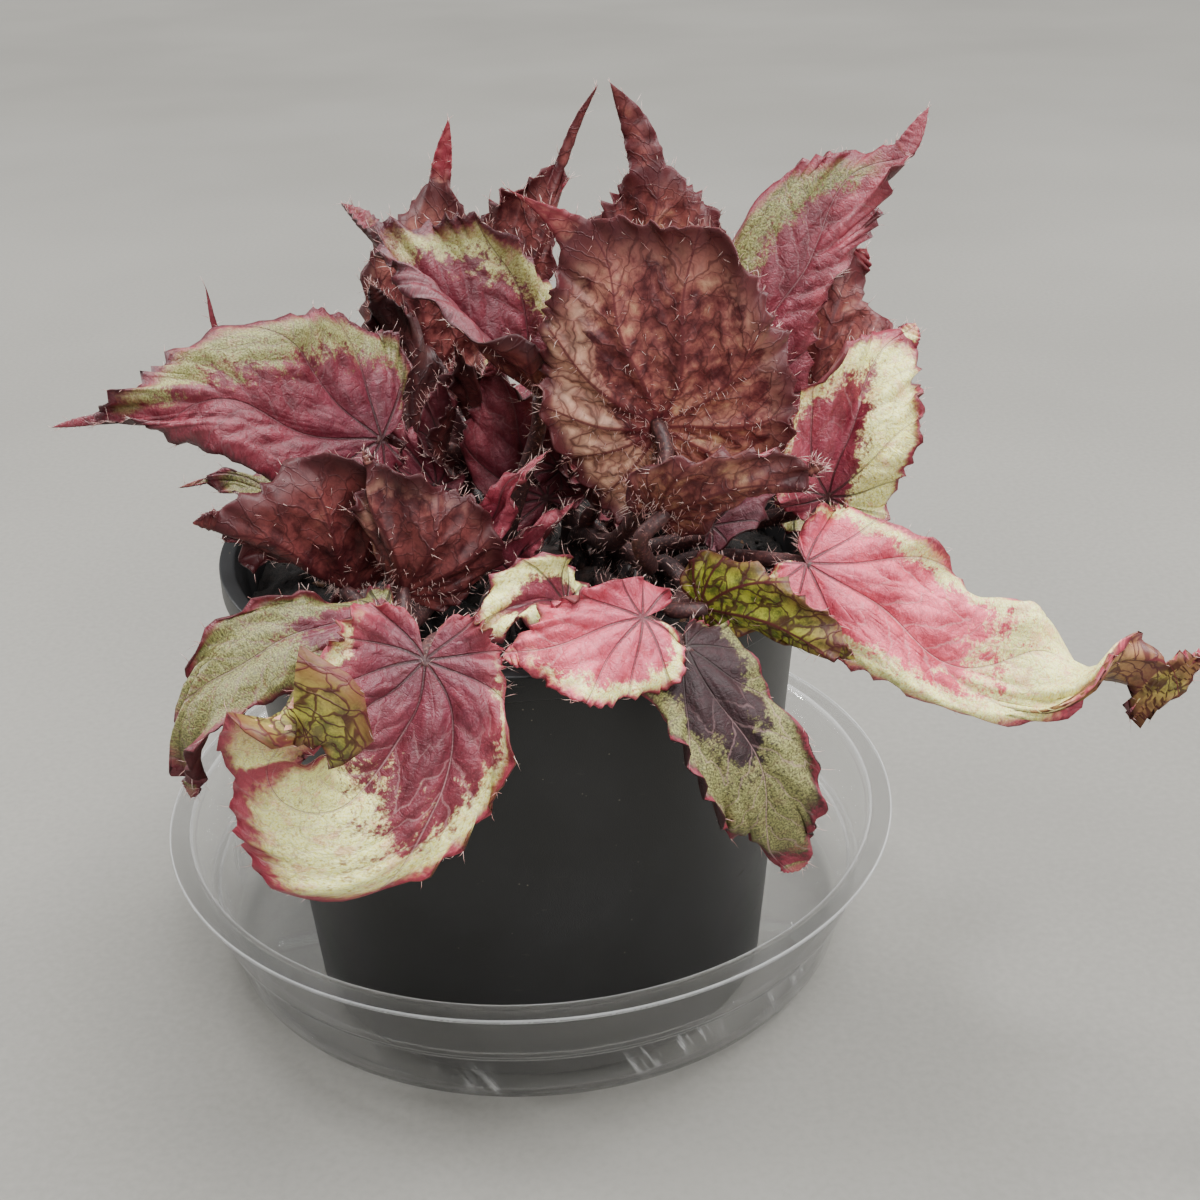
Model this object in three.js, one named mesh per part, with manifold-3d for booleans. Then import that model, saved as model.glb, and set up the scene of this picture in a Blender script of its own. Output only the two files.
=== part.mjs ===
import * as THREE from 'three';
import { mergeVertices } from 'three/addons/utils/BufferGeometryUtils.js';
import Module from 'manifold-3d';

// Potted rex begonia: a creeping rhizome with long-tipped, ruffled leaves on hairy stalks,
// in a black plastic pot that stands in a clear saucer.
// Millimetres, +Z up. The origin is on the pot's axis, at the underside of the saucer.

const GAP = 0.3;

// Pot: a tapered wall with a turned-down rim band, a raised floor with holes, and a foot ring.
const POT_RIM_RADIUS = 82;
const POT_RIM_TOP = 136.6;
const POT_RIM_BAND = 7;
const POT_RIM_INNER = 78;
const POT_NECK_RADIUS = 77.5;
const POT_NECK_HEIGHT = 131.6;
const POT_BASE_RADIUS = 67.3;
const POT_WALL = 1.2;
const POT_FOOT_HEIGHT = 3;
const POT_FOOT_WIDTH = 5;
const POT_CHAMFER = 1;
const POT_SEGMENTS = 36;
const DRAIN_COUNT = 6;
const DRAIN_RADIUS = 5;
const DRAIN_CIRCLE = 42;
const DRAIN_SIDES = 8;

// Saucer: a shallow clear dish with a ledge half way up and a flat lip.
const SAUCER_CENTRE_X = -1.5;
const SAUCER_CENTRE_Y = 20;
const SAUCER_LIP_RADIUS = 110.5;
const SAUCER_HEIGHT = 41.5;
const SAUCER_WALL = 1.2;
const SAUCER_FLOOR_RADIUS = 91;
const SAUCER_LOW_RADIUS = 95.5;
const SAUCER_LEDGE_RADIUS = 99;
const SAUCER_LEDGE_HEIGHT = 20;
const SAUCER_LEDGE_WIDTH = 2;
const SAUCER_MOUTH_RADIUS = 103.9;
const SAUCER_ROUND = 2.6;
const SAUCER_SEGMENTS = 36;
const RIB_COUNT = 12;
const RIB_INNER = 22;
const RIB_LENGTH = 62;
const RIB_WIDTH = 3;
const RIB_HEIGHT = 1.5;

const POT_BOTTOM = SAUCER_WALL + RIB_HEIGHT + GAP;

// Soil: fills the pot to a little below its rim.
const SOIL_LEVEL = 124.5;
const SOIL_BUMP = 1.3;
const SOIL_EDGE_DROP = 3;
const SOIL_RINGS = 6;
const SOIL_SEGMENTS = 28;

// Rhizome: knobbly creeping stems, half sunk in the soil.
const RHIZOME_SIDES = 8;
const RHIZOME_STEP = 9;
const KNOB_SIZE = 0.05;
const KNOB_PITCH = 18;

// Leaves: blade thickness, stalk radii and the teeth of the margin.
const BLADE_THICKNESS = 0.8;
const STALK_SIDES = 6;
const STALK_FOOT_RADIUS = 2.7;
const STALK_TOP_RADIUS = 1.9;
const STALK_STEPS = 6;
const STALK_RISE = 7;
const STALK_RUN = 9;
const SEAT_GAP = 0.6;
const STALK_GAP = 0.7;
const TOOTH_DEPTH = 2;
const LOBE_BULGE = 0.08;

// Columns from the tip to the notch at the stalk, and the shares of the way out at which the
// rings of points lie.
const BLADE_GRIDS = {
  big: { columns: 14, rings: [0.3, 0.62, 0.86, 1] },
  medium: { columns: 11, rings: [0.4, 0.8, 1] },
  small: { columns: 7, rings: [0.45, 0.82, 1] },
};

// Half of a flat blade's outline from the foot of its drawn-out tip round to the notch.
// First number: share of the half width. Second: 1 at the foot of the tip, 0 level with the
// stalk, and -1 at the lowest point of the lobe beside the stalk.
const OUTLINE = [
  [0.1, 1],
  [0.38, 0.9],
  [0.66, 0.76],
  [0.88, 0.57],
  [1, 0.34],
  [1, 0.1],
  [0.93, -0.3],
  [0.76, -0.75],
  [0.5, -1],
  [0.28, -0.97],
  [0.11, -0.66],
];

// The drawn-out tip: shares of its length at which it has a row of points.
const TIP_ROWS = [0.35, 0.7];

// Creeping stems of the rhizome: the line of each one's middle, and its radius.
const STEMS = {
  main: { line: [[-40, 26, 123], [-14, 12, 124], [12, -6, 124], [40, -26, 124]], radius: 8 },
  back: { line: [[-8, 8, 123], [-7, 30, 124], [-10, 54, 124]], radius: 7 },
  right: { line: [[8, -3, 123], [32, 4, 124], [52, 12, 124]], radius: 7 },
  left: { line: [[-8, 8, 123], [-24, -14, 124], [-36, -36, 124]], radius: 7 },
  front: { line: [[6, -2, 123], [6, -26, 124], [4, -50, 124]], radius: 7 },
};

// Leaves. young: a small leaf whose blade and stalk are one piece. root: the stem that bears the
// leaf, the share of the way along it, and the side of it, which is 0 on top, 45 to the stem's left
// and -45 to its right. via: bends of the stalk. reach: how far the stalk arrives along the midrib
// and square to the blade. rib: the midrib from the stalk to the tip. face: the direction of the
// upper side, at even steps from the stalk to the tip. half: the widths left and right of the
// midrib. fold and curl: how far each half turns up from flat, in degrees, at the rib and on
// towards the edge, with foldTip and curlTip for the tip's end. lobe: how far the blade reaches
// back beside the stalk. tail: the drawn-out tip's share of the length. plump: the smaller, the
// rounder the sides. shoulder: how much of each half's width there is level with the stalk.
// ruffle and waves: height and number of the waves of the margin.
const LEAVES = [
  {
    name: 'left_long', root: ['left', 0.22, -45], via: [[-18, 0, 152]],
    rib: [[-34, -15, 171], [-53, -24, 178], [-72, -30, 186], [-94, -28, 184], [-117, -20, 179]],
    face: [[0.1, -0.85, 0.5], [0, -0.85, 0.5]],
    half: [13, 32], lobe: 6, tail: 0.16, plump: 2.4, fold: [-10, 5], curl: [20, -15], curlTip: [150, 0],
    ruffle: 2.8, waves: 6, grid: 'big', tint: 0xa8496a,
  },
  {
    name: 'left_back', root: ['main', 0.1, -45],
    rib: [[-53, 4, 140], [-71, 8, 148], [-84, 10, 151], [-95, 10, 149]],
    face: [[0, -0.5, 0.85], [0, -0.8, 0.5]],
    half: [9, 8], lobe: 6, tail: 0.2, plump: 1, fold: [10, 10], curl: [30, -30],
    ruffle: 2, waves: 4, grid: 'small', tint: 0xa06a75,
  },
  {
    name: 'left_spike', young: true, root: ['main', 0.06, 45],
    rib: [[-60, 16, 169], [-69, 14, 180], [-78, 12, 190], [-80, 10, 206]],
    face: [[0, -0.9, 0.4], [0, -0.9, 0.2]],
    half: [9, 10], lobe: 4, tail: 0.4, plump: 1, fold: [10, 10], curl: [10, 10],
    ruffle: 2, waves: 4, grid: 'small', tint: 0x9a4560,
  },
  {
    name: 'left_under', root: ['left', 0.8, -45],
    rib: [[-42, -44, 142], [-52, -52, 154], [-63, -57, 163], [-75, -58, 168]],
    face: [[0, 0.9, -0.2], [0, 0.9, -0.2]],
    half: [30, 8], lobe: 6, tail: 0.12, plump: 0.8, fold: [-5, 50], curl: [20, 40],
    ruffle: 2.6, waves: 5, grid: 'medium', tint: 0x7a3038,
  },
  {
    name: 'left_front', root: ['left', 0.72, 45],
    rib: [[-26, -57, 147], [-28, -59, 158], [-31, -57, 170], [-34, -50, 182]],
    face: [[0.2, 0.85, 0], [0.1, 0.8, 0.4]],
    half: [26, 9], lobe: 6, tail: 0.1, plump: 1, fold: [0, 20], curl: [60, 30],
    ruffle: 2.4, waves: 5, grid: 'medium', tint: 0x93404c,
  },
  {
    name: 'hang_round', root: ['front', 0.6, -45], via: [[-9, -58, 138]],
    rib: [
      [-19, -88, 145], [-21, -95, 135], [-28, -101, 124], [-39, -105, 119], [-48, -108, 123],
      [-54, -111, 133], [-52, -115, 143], [-45, -119, 151], [-39, -121, 149],
    ],
    face: [[0, -0.75, 0.66], [0, -0.9, 0.4], [0, -0.9, 0.4], [0, -0.9, 0.4], [0.5, -0.5, -0.5]],
    half: [27, 13], shoulder: [0.72, 1], lobe: 12, tail: 0.35, plump: 0.6, fold: [0, 5],
    curl: [-10, 20],
    ruffle: 2.6, waves: 7, grid: 'big', tint: 0xb4627a,
  },
  {
    name: 'hang_left_back', root: ['left', 0.93, 45], reach: [0.2, 1],
    rib: [
      [-31, -67, 147], [-42, -75, 148], [-56, -80, 148], [-69, -86, 141], [-76, -90, 128],
      [-77, -88, 110],
    ],
    face: [[-0.1, -0.6, 0.8], [-0.3, -0.7, 0.6], [-0.6, -0.8, 0]],
    half: [14, 9], lobe: 5, tail: 0.06, plump: 0.6, fold: [0, 0], curl: [-10, -20],
    ruffle: 2.6, waves: 6, grid: 'medium', tint: 0x9aa08a,
  },
  {
    name: 'front_rose', root: ['front', 0.85, 45], reach: [0.2, 1],
    rib: [[31, -80, 150], [19, -86, 151], [9, -90, 150], [-1, -91, 147]],
    face: [[0.1, -0.7, 0.7], [0, -0.8, 0.6]],
    half: [19, 10], lobe: 8, tail: 0.1, plump: 0.7, fold: [0, 10], curl: [-10, 10],
    ruffle: 2.4, waves: 5, grid: 'medium', tint: 0xc4506a,
  },
  {
    name: 'front_red', root: ['front', 0.97, 0],
    rib: [[13, -65, 147], [6, -72, 152], [-2, -78, 151], [-11, -81, 144]],
    face: [[0, -0.6, 0.8], [0, -0.8, 0.6]],
    half: [11, 11], lobe: 7, tail: 0.15, plump: 0.8, fold: [20, 20], curl: [20, 20],
    ruffle: 2.6, waves: 5, grid: 'small', tint: 0x8f2b3e,
  },
  {
    name: 'front_green', root: ['main', 0.97, 0], via: [[44, -44, 139]], reach: [1, 0.5],
    rib: [[46, -61, 143], [57, -68, 143], [68, -75, 141], [81, -79, 137]],
    face: [[0, 0.9, 0.1], [0, 0.9, 0.1]],
    half: [6, 15], lobe: 5, tail: 0.1, plump: 0.7, fold: [0, 0], curl: [20, 20],
    ruffle: 2, waves: 4, grid: 'small', tint: 0x8f8a3c,
  },
  {
    name: 'hang_right', root: ['main', 0.85, -45], via: [[27, -56, 141]],
    rib: [[41, -80, 142], [49, -90, 131], [58, -96, 112], [67, -93, 87]],
    face: [[-0.1, -0.6, 0.8], [0.05, -0.9, 0.3], [0.1, -0.9, 0]],
    half: [15, 15], lobe: 5, tail: 0.05, plump: 0.6, fold: [-20, 5], foldTip: [5, 5], curl: [-20, 10],
    ruffle: 2.6, waves: 6, grid: 'medium', tint: 0x7c5a5c,
  },
  {
    name: 'right_long', root: ['main', 0.97, 45],
    rib: [
      [73, -47, 147], [92, -57, 137], [114, -60, 125], [135, -62, 123], [150, -60, 122],
      [173, -54, 109],
    ],
    face: [[0, -0.75, 0.65], [0, -0.75, 0.65], [0, -0.8, 0.6], [0, 0, 1], [0, 0.9, 0.1]],
    half: [21, 16], lobe: 6, tail: 0.12, plump: 0.8, fold: [5, 0], curl: [-15, -10],
    ruffle: 3, waves: 7, grid: 'big', tint: 0xd27a8c,
  },
  {
    name: 'right_small', young: true, root: ['right', 0.88, 0],
    rib: [[75, -4, 143], [85, -2, 145], [94, -2, 148], [102, -4, 153]],
    face: [[-0.2, -0.8, 0.5], [-0.2, -0.8, 0.5]],
    half: [9, 8], lobe: 5, tail: 0.1, plump: 0.8, fold: [20, 20], curl: [20, -20],
    ruffle: 2, waves: 4, grid: 'small', tint: 0xc09090,
  },
  {
    name: 'right_rose', root: ['right', 0.78, -45],
    rib: [[81, -26, 156], [83, -26, 168], [89, -22, 180], [98, -14, 189], [105, -6, 195]],
    face: [[-0.1, -0.9, 0.4], [-0.1, -0.9, 0.4]],
    half: [16, 18], lobe: 6, tail: 0.1, plump: 0.7, fold: [25, 20], curl: [0, -30],
    ruffle: 3, waves: 6, grid: 'medium', tint: 0xc46a80,
  },
  {
    name: 'right_dark', root: ['right', 0.8, 45], via: [[68, 14, 150]], reach: [1, 0.4],
    rib: [[80, 4, 171], [82, 6, 187], [86, 10, 200], [95, 16, 209]],
    face: [[0, 0.95, -0.1], [0, 0.95, -0.1]],
    half: [19, 12], lobe: 6, tail: 0.1, plump: 0.6, fold: [0, 0], curl: [-20, 20],
    ruffle: 2.6, waves: 5, grid: 'medium', tint: 0x6b2c34,
  },
  {
    name: 'top_right', root: ['right', 0.57, 0],
    rib: [[65, -4, 174], [67, -2, 193], [76, 4, 211], [92, 10, 226], [104, 14, 235], [110, 18, 245]],
    face: [[0, -0.9, 0.45], [0, -0.9, 0.45]],
    half: [20, 13], lobe: 6, tail: 0.15, plump: 0.75, fold: [0, 10], curl: [-10, 0],
    ruffle: 2.4, waves: 7, grid: 'big', tint: 0xb04666,
  },
  {
    name: 'centre_big', root: ['main', 0.69, 0], via: [[26, -36, 150], [34, -47, 167]],
    rib: [[37, -38, 181], [31, -40, 203], [24, -38, 220], [15, -36, 231], [3, -40, 241]],
    face: [[0, 0.9, -0.1], [0, 0.9, -0.1]],
    half: [36, 26], lobe: 22, tail: 0.28, plump: 0.8, fold: [0, 0], curl: [-10, 10],
    ruffle: 2.6, waves: 7, grid: 'big', tint: 0x7c3840,
  },
  {
    name: 'centre_back', root: ['back', 0.42, -45],
    rib: [[38, 9, 197], [38, 11, 214], [37, 13, 232], [34, 16, 243], [28, 16, 254]],
    face: [[0, 0.95, -0.1], [0, 0.95, -0.1]],
    half: [20, 18], lobe: 10, tail: 0.4, plump: 0.6, fold: [5, 5], curl: [0, 10],
    ruffle: 2.4, waves: 5, grid: 'medium', tint: 0x6b2c34,
  },
  {
    name: 'top_fold', root: ['back', 0.62, -45], reach: [1, 0.3],
    rib: [[-1, 4, 196], [7, 8, 216], [14, 12, 231], [20, 14, 245], [25, 14, 254]],
    face: [[0.3, 0.9, -0.1], [0, 0.95, -0.1]],
    half: [7, 17], lobe: 6, tail: 0.35, plump: 0.9, fold: [30, 0], curl: [40, 0],
    ruffle: 2.4, waves: 5, grid: 'medium', tint: 0x6e2b38,
  },
  {
    name: 'left_fold', root: ['front', 0.25, -45],
    rib: [[9, -22, 183], [-6, -26, 199], [-19, -26, 213], [-31, -20, 224], [-39, -12, 232]],
    face: [[0.45, -0.22, 0.87], [0.45, -0.22, 0.87]],
    half: [14, 27], lobe: 6, tail: 0.15, plump: 0.75, fold: [45, 50], curl: [0, 0],
    ruffle: 3, waves: 7, grid: 'big', tint: 0xa0506a,
  },
  {
    name: 'back_left', root: ['back', 0.7, 45],
    rib: [[-26, 34, 170], [-23, 40, 200], [-19, 46, 224], [-16, 49, 240]],
    face: [[0, 0.95, -0.1], [0, 0.95, -0.1]],
    half: [17, 21], lobe: 8, tail: 0.25, plump: 0.8, fold: [0, 0], curl: [10, 10],
    ruffle: 2.4, waves: 5, grid: 'medium', tint: 0x84505a,
  },
  {
    name: 'inner_dark', root: ['main', 0.2, 45], reach: [1, 0.5],
    rib: [[-27, 8, 153], [-29, 14, 171], [-32, 16, 188], [-37, 14, 204]],
    face: [[0, 0.95, 0.1], [0, 0.95, 0.1]],
    half: [13, 13], lobe: 6, tail: 0.1, plump: 0.7, fold: [15, 15], curl: [20, 20],
    ruffle: 2.6, waves: 5, grid: 'medium', tint: 0x4c2428,
  },
  {
    name: 'inner_rose', young: true, root: ['left', 0.45, 45],
    rib: [[-11, -42, 153], [-3, -46, 162], [1, -48, 171], [10, -44, 178]],
    face: [[-0.5, -0.6, 0.5], [-0.2, -0.8, 0.5]],
    half: [7, 7], lobe: 5, tail: 0.25, plump: 0.8, fold: [20, 20], curl: [40, 40],
    ruffle: 1.2, waves: 4, grid: 'small', tint: 0xa8405c,
  },
  {
    name: 'inner_maroon', root: ['main', 0.5, 45],
    rib: [[8, -8, 150], [2, -7, 163], [-2, -7, 176], [-5, -7, 189]],
    face: [[0, -0.95, 0.3], [0, -0.95, 0.3]],
    half: [15, 15], lobe: 5, tail: 0.1, plump: 0.7, fold: [0, 5], curl: [10, 15],
    ruffle: 2.4, waves: 5, grid: 'medium', tint: 0x6a1f30,
  },
  {
    name: 'young_hairy', root: ['main', 0.82, 0], via: [[34, -46, 147]],
    rib: [[37, -54, 165], [46, -61, 171], [59, -63, 176], [75, -60, 178]],
    face: [[0, 0.9, 0.2], [0, 0.9, 0.2]],
    half: [8, 13], lobe: 6, tail: 0.1, plump: 0.7, fold: [0, 0], curl: [20, 20],
    ruffle: 2, waves: 4, grid: 'small', tint: 0x6a3c34,
  },
  {
    name: 'inner_red', young: true, root: ['right', 0.42, 0],
    rib: [[58, -13, 158], [66, -15, 162], [74, -15, 163], [81, -14, 160]],
    face: [[0, -0.8, 0.6], [0, -0.8, 0.6]],
    half: [13, 10], lobe: 5, tail: 0.1, plump: 0.8, fold: [10, 10], curl: [20, -20],
    ruffle: 2, waves: 4, grid: 'small', tint: 0x7c1f34,
  },
  {
    name: 'inner_purple', young: true, root: ['main', 0.84, 45], reach: [0.5, 1],
    rib: [[51, -27, 149], [56, -28, 154], [62, -26, 157], [69, -22, 157]],
    face: [[-0.3, -0.7, 0.6], [-0.3, -0.7, 0.6]],
    half: [7, 9], lobe: 4, tail: 0.1, plump: 0.8, fold: [10, 10], curl: [20, 20],
    ruffle: 1.6, waves: 4, grid: 'small', tint: 0x6a2440,
  },
  {
    name: 'inner_small', young: true, root: ['front', 0.41, -45], reach: [0.3, 1],
    rib: [[0, -37, 141], [2, -40, 149], [8, -42, 156], [16, -41, 163]],
    face: [[-0.3, -0.8, 0.4], [-0.3, -0.8, 0.4]],
    half: [6, 6], lobe: 5, tail: 0.15, plump: 0.8, fold: [30, 30], curl: [20, 20],
    ruffle: 1.2, waves: 4, grid: 'small', tint: 0x6e2836,
  },
  {
    name: 'rear_left', root: ['back', 0.88, 45],
    rib: [[-20, 62, 158], [-26, 76, 170], [-34, 92, 174], [-42, 108, 166]],
    face: [[-0.1, 0.3, 0.9], [-0.2, 0.3, 0.9]],
    half: [22, 19], lobe: 12, tail: 0.2, plump: 0.8, fold: [10, 10], curl: [-20, -20],
    ruffle: 2.4, waves: 6, grid: 'medium', tint: 0xa0506a,
  },
  {
    name: 'rear_middle', root: ['back', 0.88, -45],
    rib: [[10, 66, 148], [13, 82, 152], [16, 98, 146], [18, 108, 130], [18, 110, 114]],
    face: [[0, 0.2, 0.9], [0, 0.6, 0.8], [0, 1, 0.3]],
    half: [20, 24], lobe: 12, tail: 0.12, plump: 0.7, fold: [5, 5], curl: [-15, -15],
    ruffle: 2.4, waves: 6, grid: 'medium', tint: 0xb4627a,
  },
  {
    name: 'rear_right', root: ['right', 0.34, 45],
    rib: [[52, 44, 164], [62, 58, 176], [74, 72, 180], [88, 86, 174]],
    face: [[0.1, 0.1, 0.9], [0.2, 0.3, 0.9]],
    half: [18, 20], lobe: 10, tail: 0.2, plump: 0.8, fold: [10, 10], curl: [-20, -10],
    ruffle: 2.4, waves: 6, grid: 'medium', tint: 0x8f4a5c,
  },
];

const wasm = await Module();
wasm.setup();

function vec(point) {
  return new THREE.Vector3(...point);
}

function radians(degrees) {
  return THREE.MathUtils.degToRad(degrees);
}

function mix(low, high, share) {
  return low + (high - low) * share;
}

// Runs smoothly through a list of points, evenly spaced, at a share from 0 to 1.
function pointAt(list, share) {
  const place = Math.min(share, 0.999999) * (list.length - 1);
  const start = Math.floor(place);
  const rest = place - start;
  const before = list[Math.max(start - 1, 0)];
  const from = list[start];
  const to = list[start + 1];
  const after = list[Math.min(start + 2, list.length - 1)];
  return from.map((value, axis) => {
    const slopeFrom = (to[axis] - before[axis]) / 2;
    const slopeTo = (after[axis] - value) / 2;
    const span = to[axis] - value;
    return value + rest * (slopeFrom + rest * (3 * span - 2 * slopeFrom - slopeTo
      + rest * (slopeFrom + slopeTo - 2 * span)));
  });
}

function closedMesh(points, faces) {
  const geometry = new THREE.BufferGeometry();
  const places = points.flatMap((point) => point.toArray());
  geometry.setAttribute('position', new THREE.Float32BufferAttribute(places, 3));
  geometry.setIndex(faces.flat());
  return geometry;
}

// The middle line of a leaf: points, directions and upper-side normals along the midrib,
// carried straight on behind the stalk for the lobes beside it.
function midrib(leaf) {
  const curve = new THREE.CatmullRomCurve3(leaf.rib.map(vec), false, 'centripetal');
  const length = curve.getLength();
  function frame(distance) {
    const share = THREE.MathUtils.clamp(distance / length, 0, 1);
    const tangent = curve.getTangentAt(share);
    const point = curve.getPointAt(share);
    if (distance < 0) {
      point.addScaledVector(tangent, distance);
    }
    const normal = vec(pointAt(leaf.face, share));
    normal.addScaledVector(tangent, -normal.dot(tangent)).normalize();
    const side = new THREE.Vector3().crossVectors(tangent, normal);
    return { point, tangent, normal, side, share };
  }
  return { length, frame };
}

// A point of the blade's middle surface, from its place in the flat blade.
function bladePoint(leaf, rib, across, along, lift) {
  const { point, normal, side, share } = rib.frame(along);
  const hand = across < 0 ? 0 : 1;
  const sign = across < 0 ? -1 : 1;
  const foldTip = leaf.foldTip ?? leaf.fold;
  const curlTip = leaf.curlTip ?? leaf.curl;
  const fold = radians(mix(leaf.fold[hand], foldTip[hand], share));
  const curl = radians(mix(leaf.curl[hand], curlTip[hand], share)) / leaf.half[hand];
  const reach = Math.abs(across);
  let out = reach * Math.cos(fold);
  let up = reach * Math.sin(fold);
  if (Math.abs(curl * reach) > 1e-6) {
    out = (Math.sin(fold + curl * reach) - Math.sin(fold)) / curl;
    up = (Math.cos(fold) - Math.cos(fold + curl * reach)) / curl;
  }
  const slope = fold + curl * reach;
  const skin = normal.clone().multiplyScalar(Math.cos(slope));
  skin.addScaledVector(side, -sign * Math.sin(slope));
  return point.clone()
    .addScaledVector(side, sign * out)
    .addScaledVector(normal, up)
    .addScaledVector(skin, lift);
}

// The place of a margin point in the flat blade. The column counts from the tip's: below 0 on
// the left half, above 0 on the right.
function marginPlace(leaf, length, column, columns) {
  const body = length * (1 - leaf.tail);
  if (column === 0) {
    return [0, body];
  }
  const hand = column < 0 ? 0 : 1;
  const steps = Math.abs(column) - 1;
  const [plain, high] = pointAt(OUTLINE, steps / (columns - 1));
  const wide = high > 0.34 ? Math.max(plain ** leaf.plump, plain * 0.6) : plain;
  const shoulder = leaf.shoulder?.[hand] ?? 1;
  const narrow = mix(shoulder, 1, THREE.MathUtils.smoothstep(high, 0, 0.45));
  const across = wide * narrow * leaf.half[hand] * (hand === 0 ? -1 : 1);
  const along = high * (high < 0 ? leaf.lobe : body);
  const plainEdge = steps % 2 === 0 || steps > columns - 3;
  const tooth = plainEdge ? 0 : TOOTH_DEPTH;
  const bulge = steps % 6 === 3 ? LOBE_BULGE : 0;
  const grow = Math.max(1 + bulge - tooth / Math.hypot(across, along), 0.7);
  return steps === 0 ? [across, along] : [across * grow, along * grow];
}

// Splits a four-cornered face along its shorter diagonal.
function split(points, [a, b, c, d]) {
  if (points[a].distanceTo(points[c]) < points[b].distanceTo(points[d])) {
    return [[a, b, c], [a, c, d]];
  }
  return [[a, b, d], [b, c, d]];
}

// A leaf blade: a thin closed sheet. Its body fans out from the stalk and is waved along the
// margin, and the drawn-out tip is a narrow strip in front of it.
function blade(leaf) {
  const rib = midrib(leaf);
  const { columns, rings } = BLADE_GRIDS[leaf.grid];
  const middle = [bladePoint(leaf, rib, 0, 0, 0)];
  const last = rings.length - 1;
  for (let column = -columns; column <= columns; column += 1) {
    const [across, along] = marginPlace(leaf, rib.length, column, columns);
    const wave = Math.sin(Math.PI * leaf.waves * column / columns);
    const fromTip = Math.abs(column / columns);
    const calm = THREE.MathUtils.smoothstep(fromTip, 0.08, 0.35)
      * (1 - THREE.MathUtils.smoothstep(fromTip, 0.75, 1));
    for (const ring of rings) {
      const lift = leaf.ruffle * wave * calm * ring ** 3;
      middle.push(bladePoint(leaf, rib, across * ring, along * ring, lift));
    }
  }
  const at = (column, ring) => 1 + (column + columns) * rings.length + ring;
  const top = [];
  for (let column = -columns; column < columns; column += 1) {
    top.push([0, at(column + 1, 0), at(column, 0)]);
    for (let ring = 0; ring < last; ring += 1) {
      const corners = [
        at(column, ring), at(column + 1, ring), at(column + 1, ring + 1), at(column, ring + 1),
      ];
      top.push(...split(middle, corners));
    }
  }
  const body = rib.length * (1 - leaf.tail);
  const foot = marginPlace(leaf, rib.length, 1, columns)[0] / leaf.half[1];
  const rows = [[at(-1, last), at(0, last), at(1, last)]];
  for (const share of TIP_ROWS) {
    const along = mix(body, rib.length, share);
    const half = foot * (1 - share);
    rows.push([-half * leaf.half[0], 0, half * leaf.half[1]].map((across) => (
      middle.push(bladePoint(leaf, rib, across, along, 0)) - 1
    )));
  }
  const tip = middle.push(bladePoint(leaf, rib, 0, rib.length, 0)) - 1;
  rows.push([tip, tip, tip]);
  for (let row = 0; row < rows.length - 1; row += 1) {
    for (const [left, right] of [[0, 1], [1, 2]]) {
      const [near, far] = [rows[row], rows[row + 1]];
      top.push([near[left], near[right], far[right]]);
      if (far[left] !== far[right]) {
        top.push([near[left], far[right], far[left]]);
      }
    }
  }
  const edge = [0];
  for (let ring = 0; ring < last; ring += 1) {
    edge.push(at(-columns, ring));
  }
  for (let column = -columns; column < 0; column += 1) {
    edge.push(at(column, last));
  }
  for (let row = 1; row < rows.length; row += 1) {
    edge.push(rows[row][0]);
  }
  for (let row = rows.length - 2; row > 0; row -= 1) {
    edge.push(rows[row][2]);
  }
  for (let column = 1; column <= columns; column += 1) {
    edge.push(at(column, last));
  }
  for (let ring = last - 1; ring >= 0; ring -= 1) {
    edge.push(at(columns, ring));
  }
  return sheet(middle, top, edge);
}

// Gives a surface of triangles its thickness, half of it on each side.
function sheet(middle, top, edge) {
  const normals = middle.map(() => new THREE.Vector3());
  for (const [a, b, c] of top) {
    const ab = middle[b].clone().sub(middle[a]);
    const ac = middle[c].clone().sub(middle[a]);
    const cross = ab.cross(ac);
    for (const corner of [a, b, c]) {
      normals[corner].add(cross);
    }
  }
  const half = BLADE_THICKNESS / 2;
  const upper = middle.map((p, i) => p.clone().addScaledVector(normals[i].normalize(), half));
  const lower = middle.map((p, i) => p.clone().addScaledVector(normals[i], -half));
  const shift = middle.length;
  const faces = [...top];
  for (const [a, b, c] of top) {
    faces.push([a + shift, c + shift, b + shift]);
  }
  for (let index = 0; index < edge.length; index += 1) {
    const here = edge[index];
    const next = edge[(index + 1) % edge.length];
    faces.push([here, next, next + shift]);
    faces.push([here, next + shift, here + shift]);
  }
  return closedMesh([...upper, ...lower], faces);
}

// A round rod along a line of frames, with flat ends.
function rod(frames, sides) {
  const points = [];
  const faces = [];
  for (const { centre, across, up, radius } of frames) {
    for (let side = 0; side < sides; side += 1) {
      const angle = ((side + 0.5) / sides) * Math.PI * 2;
      points.push(centre.clone()
        .addScaledVector(across, radius * Math.cos(angle))
        .addScaledVector(up, radius * Math.sin(angle)));
    }
  }
  const last = (frames.length - 1) * sides;
  for (let row = 0; row < last; row += sides) {
    for (let side = 0; side < sides; side += 1) {
      const next = (side + 1) % sides;
      faces.push([row + side, row + next, row + sides + next]);
      faces.push([row + side, row + sides + next, row + sides + side]);
    }
  }
  for (let side = 1; side < sides - 1; side += 1) {
    faces.push([0, side + 1, side]);
    faces.push([last, last + side, last + side + 1]);
  }
  return { points, faces };
}

// The middle line of a stem of the rhizome.
function stemCurve(stem) {
  return new THREE.CatmullRomCurve3(stem.line.map(vec));
}

// A stem's radius: knobbly, and thinner towards its tip.
function stemRadius(stem, share, length) {
  const taper = 1 - Math.max(0, share - 0.7);
  const knob = 1 + KNOB_SIZE * Math.cos(2 * Math.PI * share * length / KNOB_PITCH);
  return stem.radius * taper * knob;
}

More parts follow.
